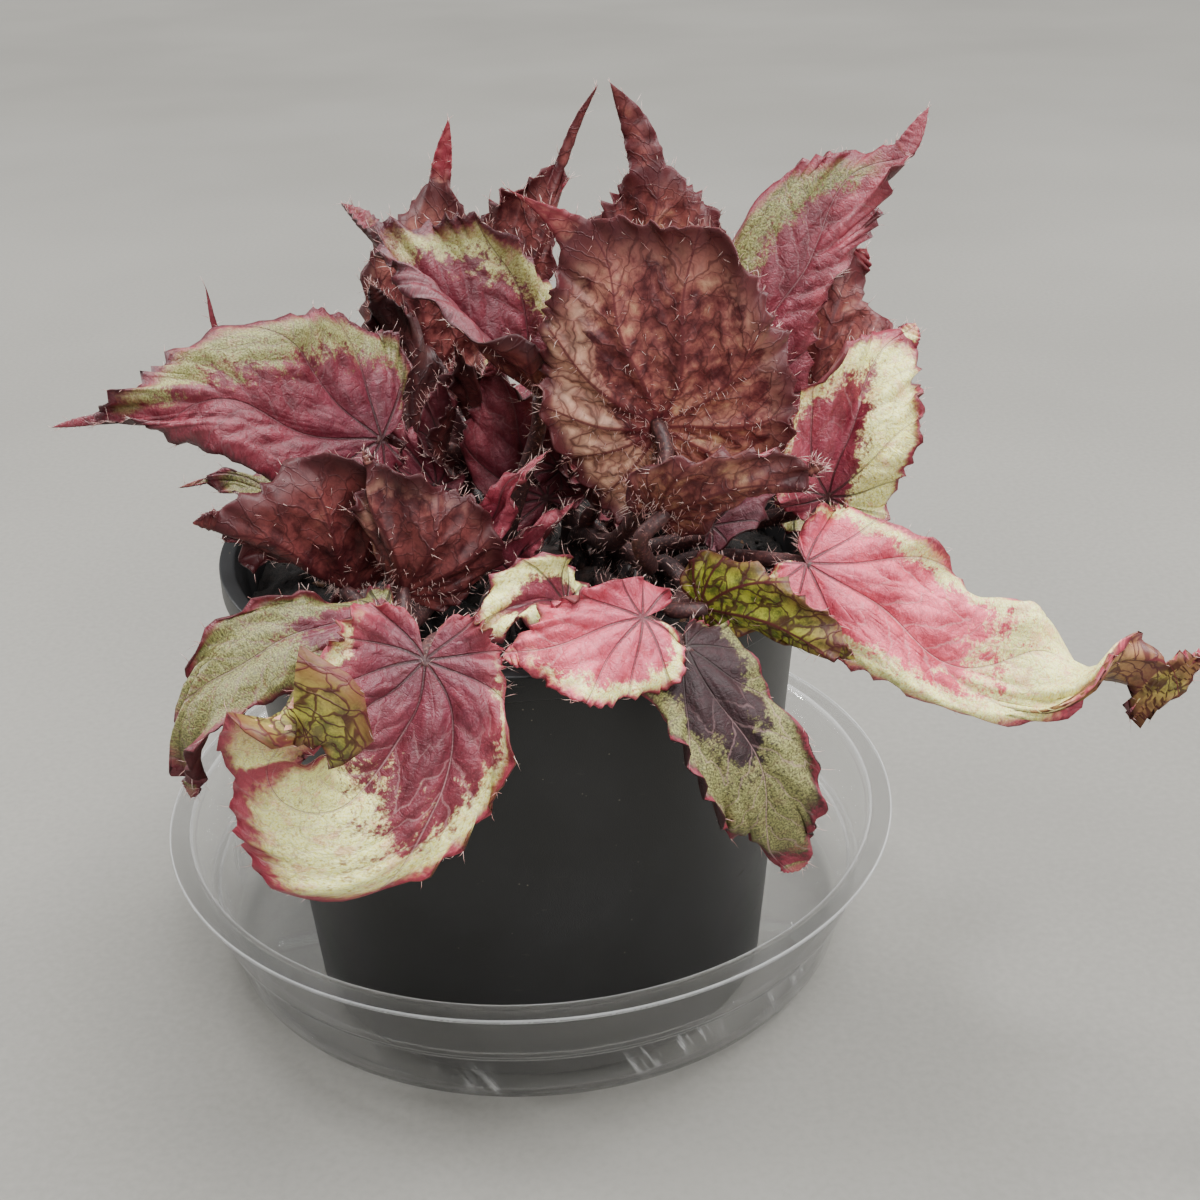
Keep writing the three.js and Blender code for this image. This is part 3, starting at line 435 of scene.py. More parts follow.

# root: stem, share of the way along it and lean to its side. rib: the midrib. face: the upper side's
# direction along it. half: width left and right of it. foldTip, curlTip: fold and curl at the tip.
# Colours: rose from maroon to pink, rim the same for the margin, band and inner: strength and start
# of the pale band, at even steps of the margin from the notch's left over the tip to its right,
# silver from cream to silver green, green of the underside, painted shade that darkens leaves
# lying in the shadow of others, hairy: share of hairs.
leaves = [
    dict(
        name="left_long", root=["left", 0.22, -45], via=[[-18, 0, 152]],
        rib=[[-34, -15, 171], [-53, -24, 178], [-72, -30, 186], [-94, -28, 184], [-117, -20, 179]],
        face=[[0.1, -0.85, 0.5], [0, -0.85, 0.5]], half=[13, 32], tail=0.16, plump=2.4, fold=[-10, 5],
        curl=[20, -15], curlTip=[150, 0], ruffle=2.8, waves=6, grid="big",
        band=[0, 0, 0, 0.15, 0.9, 0.85, 0], inner=[0.95, 0.95, 0.9, 0.85, 0.66, 0.7, 0.95], rose=0.17,
        rim=0.15, silver=0.75, green=0.2, paintedShade=0.05, hairy=0.6,
    ),
    dict(
        name="left_back", root=["main", 0.1, -45],
        rib=[[-53, 4, 140], [-71, 8, 148], [-84, 10, 151], [-95, 10, 149]],
        face=[[0, -0.5, 0.85], [0, -0.8, 0.5]], half=[9, 8], tail=0.2, plump=1, fold=[10, 10],
        curl=[30, -30], ruffle=2, waves=4, grid="small", band=[0.4, 0.5, 0.4], inner=[0.5, 0.4, 0.5],
        rose=0.2, silver=0.9, paintedShade=0.15, hairy=0.3,
    ),
    dict(
        name="left_spike", young=True, root=["main", 0.06, 45],
        rib=[[-60, 16, 169], [-69, 14, 180], [-78, 12, 190], [-80, 10, 206]],
        face=[[0, -0.9, 0.4], [0, -0.9, 0.2]], half=[9, 10], lobe=4, tail=0.4, plump=1, fold=[10, 10],
        curl=[10, 10], ruffle=2, waves=4, grid="small", inner=[0.7, 0.7], rose=0.3, green=0.2, paintedShade=0.1,
        hairy=0.4,
    ),
    dict(
        name="left_under", root=["left", 0.8, -45],
        rib=[[-42, -44, 142], [-52, -52, 154], [-63, -57, 163], [-75, -58, 168]],
        face=[[0, 0.9, -0.2], [0, 0.9, -0.2]], half=[30, 8], tail=0.12, fold=[-5, 50], curl=[20, 40],
        ruffle=2.6, band=[0, 0], inner=[0.9, 0.9], rose=0.2, silver=0.4, green=0.38, hairy=0.8,
    ),
    dict(
        name="left_front", root=["left", 0.72, 45],
        rib=[[-26, -57, 147], [-28, -59, 158], [-31, -57, 170], [-34, -50, 182]],
        face=[[0.2, 0.85, 0], [0.1, 0.8, 0.4]], half=[26, 9], plump=1, fold=[0, 20], curl=[60, 30],
        band=[0, 0.1, 0.3, 0.5, 0.3], inner=[0.8, 0.8, 0.7, 0.66, 0.66], rose=0.25, paintedShade=0.15, hairy=1.0,
    ),
    dict(
        name="hang_round", root=["front", 0.6, -45], via=[[-9, -58, 138]],
        rib=[[-19, -88, 145], [-21, -95, 135], [-28, -101, 124], [-39, -105, 119], [-48, -108, 123],
            [-54, -111, 133], [-52, -115, 143], [-45, -119, 151], [-39, -121, 149], [-35, -120, 143],
            [-38, -119, 136]],
        face=[[0, -0.75, 0.66], *3 * [[0, -0.9, 0.4]], [0, -0.9, 0.2], [0.4, -0.8, -0.2],
            *2 * [[0, 0.9, 0.1]]], half=[27, 25], shoulder=[0.72, 1], lobe=12, tail=0.43, plump=0.6,
        fold=[0, 5], curl=[-10, 45], tipWide=[0.9, 1.9], roll=0.5, ruffle=2.6, waves=7, grid="big",
        band=[0, 0.2, 0.8, 1, 0.9, 0.3, 0], inner=[0.95, 0.9, 0.74, 0.52, 0.66, 0.85, 0.95], rose=0.14,
        rim=0.9, silver=0.0, green=1.15, hairy=0.4,
    ),
    dict(
        name="hang_left_back", root=["left", 0.93, 45], reach=[0.2, 1],
        rib=[[-31, -67, 147], [-42, -75, 148], [-56, -80, 148], [-69, -86, 141], [-76, -90, 128],
            [-77, -88, 110]], face=[[-0.1, -0.6, 0.8], [-0.3, -0.7, 0.6], [-0.6, -0.8, 0]], half=[14, 9],
        lobe=5, tail=0.06, plump=0.6, curl=[-10, -20], ruffle=2.6, waves=6, band=[0.7, 1, 1, 1, 0.8],
        inner=[0.5, 0.4, 0.3, 0.4, 0.55], rose=0.15, rim=0.3, silver=1.0, green=0.5, paintedShade=0.05, hairy=0.4,
    ),
    dict(
        name="front_rose", root=["front", 0.85, 45], reach=[0.2, 1],
        rib=[[31, -80, 150], [19, -86, 151], [9, -90, 150], [-1, -91, 147]],
        face=[[0.1, -0.7, 0.7], [0, -0.8, 0.6]], half=[19, 10], lobe=8, plump=0.7, fold=[0, 10],
        curl=[-10, 10], band=[0.6, 1, 0.9, 0.3, 0, 0, 0], inner=[0.8, 0.72, 0.76, 0.9, 0.95, 0.95, 0.95],
        rose=0.9, rim=0.7, silver=0.0, green=0.4, hairy=0.4,
    ),
    dict(
        name="front_red", root=["front", 0.97, 0],
        rib=[[13, -65, 147], [6, -72, 152], [-2, -78, 151], [-11, -81, 144]],
        face=[[0, -0.6, 0.8], [0, -0.8, 0.6]], half=[11, 11], lobe=7, tail=0.15, fold=[20, 20],
        ruffle=2.6, grid="small", band=[0.7, 0.9, 0.3, 0.8, 0.4], inner=[0.6, 0.5, 0.7, 0.5, 0.6],
        rose=0.2, rim=0.4, silver=0.2, paintedShade=0.1, hairy=0.7,
    ),
    dict(
        name="front_green", root=["main", 0.97, 0], via=[[44, -44, 139]], reach=[1, 0.5],
        rib=[[46, -61, 143], [57, -68, 143], [68, -75, 141], [81, -79, 137]],
        face=[[0, 0.9, 0.1], [0, 0.9, 0.1]], half=[6, 15], lobe=5, plump=0.7, ruffle=2, waves=4,
        grid="small", rose=0.5, green=1.15, hairy=0.4,
    ),
    dict(
        name="hang_right", root=["main", 0.85, -45], via=[[27, -56, 141]],
        rib=[[41, -80, 142], [49, -90, 131], [58, -96, 112], [67, -93, 87]],
        face=[[-0.1, -0.6, 0.8], [0.05, -0.9, 0.3], [0.1, -0.9, 0]], half=[15, 15], lobe=5, tail=0.05,
        plump=0.6, fold=[-20, 5], foldTip=[5, 5], curl=[-20, 10], ruffle=2.6, waves=6,
        band=[0, 0.4, 1, 0.9, 1, 1, 0.1], inner=[0.95, 0.82, 0.56, 0.5, 0.54, 0.62, 0.9], rose=0.0,
        rim=0.7, silver=0.9, paintedShade=1.0, hairy=0.4,
    ),
    dict(
        name="right_long", root=["main", 0.97, 45],
        rib=[[73, -47, 147], [92, -57, 137], [114, -60, 125], [135, -62, 123], [150, -60, 122],
            [170, -54, 111]],
        face=[*4 * [[0, -0.75, 0.65]], *4 * [[0, -0.8, 0.6]], [0, -0.1, 1], [0, 0.8, 0.5], [0, 0.9, 0.2],
            *2 * [[0, 0.9, 0.1]]], half=[21, 16], tail=0.12, plump=0.5, fold=[5, 0], curl=[-15, -10],
        tipWide=[1.5, 1.7], ruffle=3, waves=7, grid="big", band=[0.3, 0.9, 1, 1, 1, 1, 0.6],
        inner=[0.95, 0.8, 0.72, 0.52, 0.62, 0.74, 0.85], rose=1.0, rim=0.6, silver=0.0, green=1.15,
        hairy=0.4,
    ),
    dict(
        name="right_small", young=True, root=["right", 0.88, 0],
        rib=[[75, -4, 143], [85, -2, 145], [94, -2, 148], [102, -4, 153]],
        face=[[-0.2, -0.8, 0.5], [-0.2, -0.8, 0.5]], half=[9, 8], lobe=5, fold=[20, 20], curl=[20, -20],
        ruffle=2, waves=4, grid="small", band=[0.6, 0.8, 0.6], inner=[0.5, 0.4, 0.5], rose=0.4,
        silver=0.35, green=0.7, hairy=0.4,
    ),
    dict(
        name="right_rose", root=["right", 0.78, -45],
        rib=[[81, -26, 156], [83, -26, 168], [89, -22, 180], [98, -14, 189], [105, -6, 195]],
        face=[[-0.1, -0.9, 0.4], [-0.1, -0.9, 0.4]], half=[16, 18], plump=0.7, fold=[25, 20],
        curl=[0, -30], ruffle=3, waves=6, band=[0, 0, 0.9, 0.8, 1, 1, 1],
        inner=[0.95, 0.95, 0.75, 0.62, 0.34, 0.25, 0.25], rose=0.28, rim=0.6, silver=0.15, green=0.7,
    ),
    dict(
        name="right_dark", root=["right", 0.8, 45], via=[[68, 14, 150]], reach=[1, 0.4],
        rib=[[80, 4, 171], [82, 6, 187], [86, 10, 200], [95, 16, 209]],
        face=[[0, 0.95, -0.1], [0, 0.95, -0.1]], half=[19, 12], plump=0.6, curl=[-20, 20], ruffle=2.6,
        rose=0.5, silver=0.4, green=0.5, hairy=0.8,
    ),
    dict(
        name="top_right", root=["right", 0.57, 0],
        rib=[[65, -4, 174], [67, -2, 193], [76, 4, 211], [92, 10, 226], [104, 14, 235], [110, 18, 245]],
        face=[[0, -0.9, 0.45], [0, -0.9, 0.45]], half=[20, 13], tail=0.15, plump=0.75, fold=[0, 10],
        curl=[-10, 0], waves=7, grid="big", band=[0.6, 1, 0.9, 0.2, 0, 0, 0],
        inner=[0.4, 0.3, 0.5, 0.85, 0.9, 0.9, 0.95], rose=0.15, rim=0.4, silver=0.85, hairy=0.6,
    ),
    dict(
        name="centre_big", root=["main", 0.69, 0], via=[[26, -36, 150], [34, -47, 167]],
        rib=[[37, -38, 181], [31, -40, 203], [24, -38, 220], [15, -36, 231], [3, -40, 241]],
        face=[[0, 0.9, -0.1], [0, 0.9, -0.1]], half=[36, 26], lobe=22, tail=0.28, curl=[-10, 10],
        tipWide=[-0.2, -0.2], ruffle=2.6, waves=7, grid="big", band=[0.3, 0.3, 0.3, 0.2, 0.8, 1, 1],
        inner=[0.7, 0.7, 0.7, 0.7, 0.4, 0.22, 0.25], rose=0.5, rim=0.3, green=0.6, hairy=1.0,
    ),
    dict(
        name="centre_back", root=["back", 0.42, -45],
        rib=[[38, 9, 197], [38, 11, 214], [37, 13, 232], [34, 16, 243], [28, 16, 254]],
        face=[[0, 0.95, -0.1], [0, 0.95, -0.1]], half=[20, 18], lobe=10, tail=0.4, plump=0.6, fold=[5, 5],
        curl=[0, 10], rose=0.35, silver=0.4, green=0.5, paintedShade=0.05, hairy=0.9,
    ),
    dict(
        name="top_fold", root=["back", 0.62, -45], reach=[1, 0.3],
        rib=[[-1, 4, 196], [7, 8, 216], [14, 12, 231], [20, 14, 245], [25, 14, 254]],
        face=[[0.3, 0.9, -0.1], [0, 0.95, -0.1]], half=[7, 17], tail=0.35, plump=0.9, fold=[30, 0],
        curl=[40, 0], rose=0.35, silver=0.4, green=0.2, paintedShade=0.1, hairy=1.0,
    ),
    dict(
        name="left_fold", root=["front", 0.25, -45],
        rib=[[9, -22, 183], [-6, -26, 199], [-19, -26, 213], [-31, -20, 224], [-39, -12, 232]],
        face=[[0.45, -0.22, 0.87], [0.45, -0.22, 0.87]], half=[14, 27], tail=0.15, plump=0.75,
        fold=[45, 50], curl=[0, 0], ruffle=3, waves=7, grid="big", band=[0, 0, 0.2, 0.3, 0.9, 1, 0.6],
        inner=[0.95, 0.9, 0.85, 0.85, 0.68, 0.62, 0.68], rose=0.1, rim=0.1, silver=0.6, green=0.45,
        hairy=0.9,
    ),
    dict(
        name="back_left", root=["back", 0.7, 45],
        rib=[[-26, 34, 170], [-23, 40, 200], [-19, 46, 224], [-16, 49, 240]],
        face=[[0, 0.95, -0.1], [0, 0.95, -0.1]], half=[17, 21], lobe=8, tail=0.25, curl=[10, 10],
        band=[0.2, 0.2], inner=[0.7, 0.7], rose=0.6, rim=0.2, silver=0.4, green=0.4, hairy=0.6,
    ),
    dict(
        name="inner_dark", root=["main", 0.2, 45], reach=[1, 0.5],
        rib=[[-27, 8, 153], [-29, 14, 171], [-32, 16, 188], [-37, 14, 204]],
        face=[[0, 0.95, 0.1], [0, 0.95, 0.1]], half=[13, 13], plump=0.7, fold=[15, 15], ruffle=2.6,
        rose=0.2, silver=0.4, green=0.2, paintedShade=0.6, hairy=1.4,
    ),
    dict(
        name="inner_rose", young=True, root=["left", 0.45, 45],
        rib=[[-11, -42, 153], [-3, -46, 162], [1, -48, 171], [10, -44, 178]],
        face=[[-0.5, -0.6, 0.5], [-0.2, -0.8, 0.5]], half=[7, 7], lobe=5, tail=0.25, fold=[20, 20],
        curl=[40, 40], ruffle=1.2, waves=4, grid="small", rose=0.35, silver=0.2, hairy=0.8,
    ),
    dict(
        name="inner_maroon", root=["main", 0.5, 45],
        rib=[[8, -8, 150], [2, -7, 163], [-2, -7, 176], [-5, -7, 189]],
        face=[[0, -0.95, 0.3], [0, -0.95, 0.3]], half=[15, 15], lobe=5, plump=0.7, fold=[0, 5],
        curl=[10, 15], rose=0.25, green=0.1, paintedShade=0.35, hairy=1.2,
    ),
    dict(
        name="young_hairy", root=["main", 0.82, 0], via=[[34, -46, 147]],
        rib=[[37, -54, 165], [46, -61, 171], [59, -63, 176], [75, -60, 178]],
        face=[[0, 0.9, 0.2], [0, 0.9, 0.2]], half=[8, 13], plump=0.7, ruffle=2, waves=4, grid="small",
        rose=0.3, green=0.6, paintedShade=0.1, hairy=1.8,
    ),
    dict(
        name="inner_red", young=True, root=["right", 0.42, 0],
        rib=[[58, -13, 158], [66, -15, 162], [74, -15, 163], [81, -14, 160]],
        face=[[0, -0.8, 0.6], [0, -0.8, 0.6]], half=[13, 10], lobe=5, fold=[10, 10], curl=[20, -20],
        ruffle=2, waves=4, grid="small", rose=0.4, silver=0.2, green=0.2, paintedShade=0.2, hairy=1.0,
    ),
    dict(
        name="inner_purple", young=True, root=["main", 0.84, 45], reach=[0.5, 1],
        rib=[[51, -27, 149], [56, -28, 154], [62, -26, 157], [69, -22, 157]],
        face=[[-0.3, -0.7, 0.6], [-0.3, -0.7, 0.6]], half=[7, 9], lobe=4, fold=[10, 10], ruffle=1.6,
        waves=4, grid="small", rose=0.1, silver=0.6, green=0.1, paintedShade=0.3,
    ),
    dict(
        name="inner_small", young=True, root=["front", 0.41, -45], reach=[0.3, 1],
        rib=[[0, -37, 141], [2, -40, 149], [8, -42, 156], [16, -41, 163]],
        face=[[-0.3, -0.8, 0.4], [-0.3, -0.8, 0.4]], half=[6, 6], lobe=5, tail=0.15, fold=[30, 30],
        ruffle=1.2, waves=4, grid="small", rose=0.35, green=0.2, paintedShade=0.3, hairy=1.0,
    ),
    dict(
        name="rear_left", root=["back", 0.88, 45],
        rib=[[-20, 62, 158], [-26, 76, 170], [-34, 92, 174], [-42, 108, 166]],
        face=[[-0.1, 0.3, 0.9], [-0.2, 0.3, 0.9]], half=[22, 19], lobe=12, tail=0.2, fold=[10, 10],
        curl=[-20, -20], waves=6, band=[0.3, 0.9, 0.9, 0.6, 0.9, 0.9, 0.3],
        inner=[0.7, 0.6, 0.6, 0.55, 0.6, 0.65, 0.7], rose=0.3, silver=0.5, green=0.5,
    ),
    dict(
        name="rear_middle", root=["back", 0.88, -45],
        rib=[[10, 66, 148], [13, 82, 152], [16, 98, 146], [18, 108, 130], [18, 110, 114]],
        face=[[0, 0.2, 0.9], [0, 0.6, 0.8], [0, 1, 0.3]], half=[20, 24], lobe=12, tail=0.12, plump=0.7,
        fold=[5, 5], curl=[-15, -15], waves=6, band=[0.1, 0.1, 0.1, 0.1, 0.1, 0.1, 0.3],
        inner=[0.9, 0.9, 0.9, 0.9, 0.9, 0.9, 0.9], rose=0.2, silver=0.6, green=0.5, paintedShade=0.1,
    ),
    dict(
        name="rear_right", root=["right", 0.34, 45],
        rib=[[52, 44, 164], [62, 58, 176], [74, 72, 180], [88, 86, 174]],
        face=[[0.1, 0.1, 0.9], [0.2, 0.3, 0.9]], half=[18, 20], lobe=10, tail=0.2, fold=[10, 10],
        curl=[-20, -10], waves=6, band=[0.4, 0.9, 0.9, 0.5, 0.8, 0.9, 0.3],
        inner=[0.7, 0.55, 0.5, 0.55, 0.55, 0.65, 0.7], rose=0.25, silver=0.7, green=0.5, paintedShade=0.05,
    ),
]

youngLook = {
    "places": [              # foot on the stems, and the tip of each small dark leaf
        ([-16, 8, 131], [-22, -4, 190]), ([-12, -2, 131], [-31, -14, 178]), ([-2, 8, 131], [-14, -8, 196]),
        ([14, -2, 131], [10, -14, 186]), ([22, -10, 131], [22, -24, 168]), ([38, 8, 131], [58, -2, 182]),
    ],
    "half": 9.0,
    "lean": 8.0,
    "turn": 2.4,            # radians from one leaf's lean to the next one's
}


def youngLeaves():
    # small folded leaves of the crowded middle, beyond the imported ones
    made = []
    for number, (foot, tip) in enumerate(youngLook["places"]):
        foot = np.array(foot, float)
        tip = np.array(tip, float)
        turn = number * youngLook["turn"]
        lean = np.array([math.cos(turn), math.sin(turn), 0]) * youngLook["lean"]
        rib = [mixed(foot, tip, 0.5), mixed(foot, tip, 0.72) + lean * 0.5, tip + lean]
        made.append(dict(
            name=f"young_{number + 1}", young=True, foot=foot, rib=rib,
            face=[-lean + [0, -4, 3], -lean + [0, -4, 1]],
            half=[youngLook["half"], youngLook["half"] * 0.8], lobe=5, tail=0.2,
            fold=[25, 35], curl=[40, 30], ruffle=2.2, grid="small",
            band=[0, 0], inner=[1, 1], rose=0.25, silver=0, paintedShade=0.45, hairy=1.3,
        ))
    return made


def plannedLeaves():
    # every leaf with its plain values, its own seed and its midrib
    planned = []
    seedStep = 1.7
    for number, leaf in enumerate([*leaves, *youngLeaves()]):
        planned.append({**plainLeaf, **leaf, "seed": number * seedStep, "line": Line(leaf["rib"])})
    return planned


def veinApart(seed, across, along):
    # flat distance to the nearest main vein, and the reach from the stalk; leafLines repeats it
    step = math.radians(leafShape["veinStep"])
    reach = np.hypot(across, along)
    angle = np.arctan2(across, along)
    bent = angle * (1 + 0.004 * reach) + 0.09 * np.sin(reach * 0.12 + seed + np.round(angle / step))
    sector = bent / step
    return np.abs(sector - np.round(sector)) * step * reach, reach


def sideVeinApart(apart, reach):
    phase = (reach - apart * 1.1) / leafShape["sideVeinStep"]
    return np.abs(phase - np.round(phase)) * leafShape["sideVeinStep"] * 0.7


def ribFrame(leaf, along):
    line = leaf["line"]
    share = np.clip(along / line.length, 0, 1)
    heading = line.heading(share)
    place = line.at(share) + heading * np.minimum(along, 0)[..., None]
    face = through(leaf["face"], share)
    face = unit(face - heading * dot(face, heading))
    return place, heading, face, np.cross(heading, face), share


def bladePlace(leaf, across, along, lift):
    # from the flat blade to the folded, curled and bent one
    place, _, face, side, share = ribFrame(leaf, along)
    hand = (across >= 0).astype(int)
    sign = np.where(across < 0, -1.0, 1.0)
    half = np.array(leaf["half"])[hand]
    fold = mixed(np.array(leaf["fold"])[hand], np.array(leaf.get("foldTip", leaf["fold"]))[hand], share)
    curl = mixed(np.array(leaf["curl"])[hand], np.array(leaf.get("curlTip", leaf["curl"]))[hand], share)
    fold = np.radians(fold)
    curl = np.radians(curl) / half
    curl = np.where(np.abs(curl) < 1e-5, 1e-5, curl)
    reach = np.abs(across)
    slope = fold + curl * reach
    out = (np.sin(slope) - np.sin(fold)) / curl
    up = (np.cos(fold) - np.cos(slope)) / curl
    skin = face * np.cos(slope)[..., None] - side * (sign * np.sin(slope))[..., None]
    return place + side * (sign * out)[..., None] + face * up[..., None] + skin * lift[..., None]


def marginPlace(leaf, column, chance):
    # flat places of the margin, and how far teeth and bays cut into it there: column -1 is the
    # notch's left, 0 the tip's foot, 1 the notch's right
    shape = leafShape
    columns = shape["grids"][leaf["grid"]][0]
    body = leaf["line"].length * (1 - leaf["tail"])
    hand = (column >= 0).astype(int)
    sign = np.where(column < 0, -1.0, 1.0)
    steps = np.maximum(np.abs(column) * columns - 1, 0)
    plain, high = through(leafOutline, steps / (columns - 1)).T
    plain = np.maximum(plain, 0)
    wide = np.where(high > shape["widest"], np.maximum(plain ** leaf["plump"], plain * 0.6), plain)
    narrow = mixed(np.array(leaf["shoulder"])[hand], 1, eased(high, 0, 0.45))
    across = wide * narrow * np.array(leaf["half"])[hand] * sign
    along = high * np.where(high < 0, leaf["lobe"], body)
    far = np.hypot(across, along)
    tangent = unit(np.stack([np.gradient(across), np.gradient(along)], -1) + 1e-9)
    inward = np.stack([-tangent[:, 1], tangent[:, 0]], -1)
    inward = inward * np.sign(-dot(inward, np.stack([across, along], -1)))

    calm = eased(steps, 0, 1) * (1 - eased(steps, columns - 3.5, columns - 2.5))
    tooth = shape["toothDepth"] * (1 - np.abs(steps % 2 - 1)) * calm
    bulge = shape["lobeBulge"] * np.maximum(1 - np.abs(steps % 6 - 3), 0)
    depths = chance.uniform(*shape["bayDepths"], shape["bays"])
    saw = steps * shape["bayPitch"] + 0.35 * np.sin(steps * 2.3 + leaf["seed"]) + shape["rightBays"] * hand
    bay = shape["bay"] * depths[np.floor(saw).astype(int)] * np.abs(np.sin(math.pi * saw)) ** 0.8
    bay = bay + shape["serration"] * np.abs(np.sin(math.pi * saw * shape["serrationPitch"]))
    point = shape["point"] * np.abs(np.cos(math.pi * saw)) ** 6 * calm
    rugged = 0.55 + 0.45 * np.sin(steps * 0.9 + leaf["seed"]) * np.sin(steps * 0.37 + sign + leaf["seed"])
    cut = tooth * shape["toothLeft"] + bay * eased(steps, 0, 2) - point
    cut = cut * rugged * shape["cutDepth"] * eased(far, 8, 22)
    cut = np.minimum(cut, np.abs(across) * 0.5)
    grow = np.where(steps > 0, 1 + bulge, 1)
    foot = np.minimum(np.abs(column) * columns, 1)
    return across * grow * foot, mixed(body, along * grow, foot), inward * (cut * foot)[:, None]


def bladeLift(leaf, column, ring, across, along):
    # how far the skin stands off the smooth blade, where its veins stand out, and how loose the
    # margin is, which holds still at the tip and in the notch
    shape = leafShape
    fromTip = np.abs(column)[:, None]
    calm = eased(fromTip, 0.08, 0.35) * (1 - eased(fromTip, 0.75, 1))
    wave = np.sin(math.pi * leaf["waves"] * column)[:, None]
    lift = leaf["ruffle"] * wave * calm * ring ** 3
    sway = leaf["seed"] + 1.5 * np.sin(column * 7 + leaf["seed"])
    finer = np.sin(math.pi * leaf["waves"] * shape["finer"] * column + sway)
    finer = (finer * (0.7 + 0.3 * np.sin(column * 11)))[:, None]
    finest = np.sin(math.pi * leaf["waves"] * shape["finest"] * column + sway * shape["finer"])[:, None]
    loose = eased(fromTip, 0.02, 0.15) * (1 - eased(fromTip, 0.82, 1))
    crinkle = leaf["ruffle"] * shape["crinkle"] * loose
    lift = lift + crinkle * (finer * ring ** 5 + shape["finestShare"] * finest * ring ** 11)
    apart, reach = veinApart(leaf["seed"], across, along)
    valley = np.exp(-(apart / (1.2 + reach * 0.07)) ** 2) * eased(reach, 4, 16) * (1 - ring ** 4)
    lift = lift - shape["valley"] * valley
    between = np.minimum(apart, sideVeinApart(apart, reach) * 1.6)
    lift = lift + shape["quilt"] * eased(between, 0, 3.2) * eased(reach, 3, 12) * (1 - ring ** 6)
    vein = np.exp(-(apart / 1.1) ** 2) * eased(reach, 1, 5) * (1 - 0.8 * ring ** 2)
    return lift - shape["groove"] * vein, vein, loose


def rolledMargin(leaf, column, ring, far, loose):
    # the margin's roll up or down: how much it draws the margin in, and how far it lifts it
    start = leafShape["rollStart"]
    rolled = np.sin(column * 12.3 + leaf["seed"] * 2) * np.sin(column * 4.7 + leaf["seed"] * 3)
    share = np.clip((ring - start) / (1 - start), 0, 1)
    turn = leafShape["roll"] * leaf["roll"] * (rolled[:, None] * loose) * share
    turn = np.where(np.abs(turn) < 1e-4, 1e-4, turn)
    arc = (1 - start) * share
    drawIn = (ring - arc + arc * np.sin(turn) / turn) / ring
    return drawIn, far[:, None] * arc * (1 - np.cos(turn)) / turn


def tipStrip(leaf, foot):
    # the drawn-out tip: its places, flat places, rings, and share of the way along it
    length = leaf["line"].length
    seed = leaf["seed"]
    share = np.linspace(0, 1, leafShape["tipRows"] + 1)[1:-1]
    column = np.linspace(-1, 1, 2 * leafShape["tipColumns"] + 1)
    saw = 1 + leafShape["tipSaw"] * np.sin(share * length * 0.8 + seed) * np.sin(share * 9 + seed)
    half = np.where(column < 0, *leaf["half"])
    wide = np.where(column < 0, *leaf["tipWide"])
    slim = 1 - share[:, None] + wide * np.sin(math.pi * share)[:, None]
    across = foot * slim * saw[:, None] * column * half
    lift = leafShape["tipTwist"] * np.sin(share * length * 0.45 + seed)[:, None] * across
    lift = lift * eased(share, 0, 0.2)[:, None]
    along = mixed(length * (1 - leaf["tail"]), length, share)[:, None]
    along = np.broadcast_to(along, across.shape)
    ring = mixed(0.72, 1.0, np.abs(column)[None, :] * np.ones(across.shape))
    return bladePlace(leaf, across, along, lift), across, along, ring, share


def bladeFaces(columns, rings, tipSize):
    # corner numbers of one side: its faces, and its edge from the stalk round over the tip
    fine = (columns - tipSize[1]) // 2
    at = 1 + np.arange(columns * rings).reshape(-1, rings)
    fan = np.stack([np.zeros(len(at) - 1, int), at[1:, 0], at[:-1, 0]], -1)
    body = np.stack([at[:-1, :-1], at[1:, :-1], at[1:, 1:], at[:-1, 1:]], -1).reshape(-1, 4)
    tip = at.max() + 1 + np.arange(tipSize[0] * tipSize[1]).reshape(tipSize)
    rows = np.vstack([at[fine:-fine, -1], tip])
    last = tip.max() + 1
    strip = np.stack([rows[:-1, :-1], rows[:-1, 1:], rows[1:, 1:], rows[1:, :-1]], -1).reshape(-1, 4)
    ends = np.stack([rows[-1, :-1], rows[-1, 1:], np.full(rows.shape[1] - 1, last)], -1)
    left = [0, *at[0, :-1], *at[:fine, -1], *rows[:, 0]]
    right = [*rows[::-1, -1], *at[-fine:, -1], *at[-1, -2::-1]]
    return np.vstack([body, strip]), np.vstack([fan, ends]), np.array([*left, last, *right])


def bladeColours(leaf, across, along, ring, tip, turn):
    # values for the leaf finishes: place, band and mood; turn: 0 left of the notch, 1 right of it
    band = through(np.array(leaf["band"])[:, None], turn)[:, 0]
    inner = through(np.array(leaf["inner"])[:, None], turn)[:, 0]
    size = across.shape
    mood = [np.full(size, leaf[key]) for key in ("rose", "silver", "green")]
    more = [np.full(size, leaf["paintedShade"]), np.full(size, leaf["seed"]), tip]
    rim = np.full(size, leaf.get("rim", leaf["rose"]))
    return {
        "leafPlace": np.stack([across, along, ring], -1),
        "leafBand": np.stack([band, inner, rim], -1),
        "leafMood": np.stack(mood, -1),
        "leafMore": np.stack(more, -1),
    }


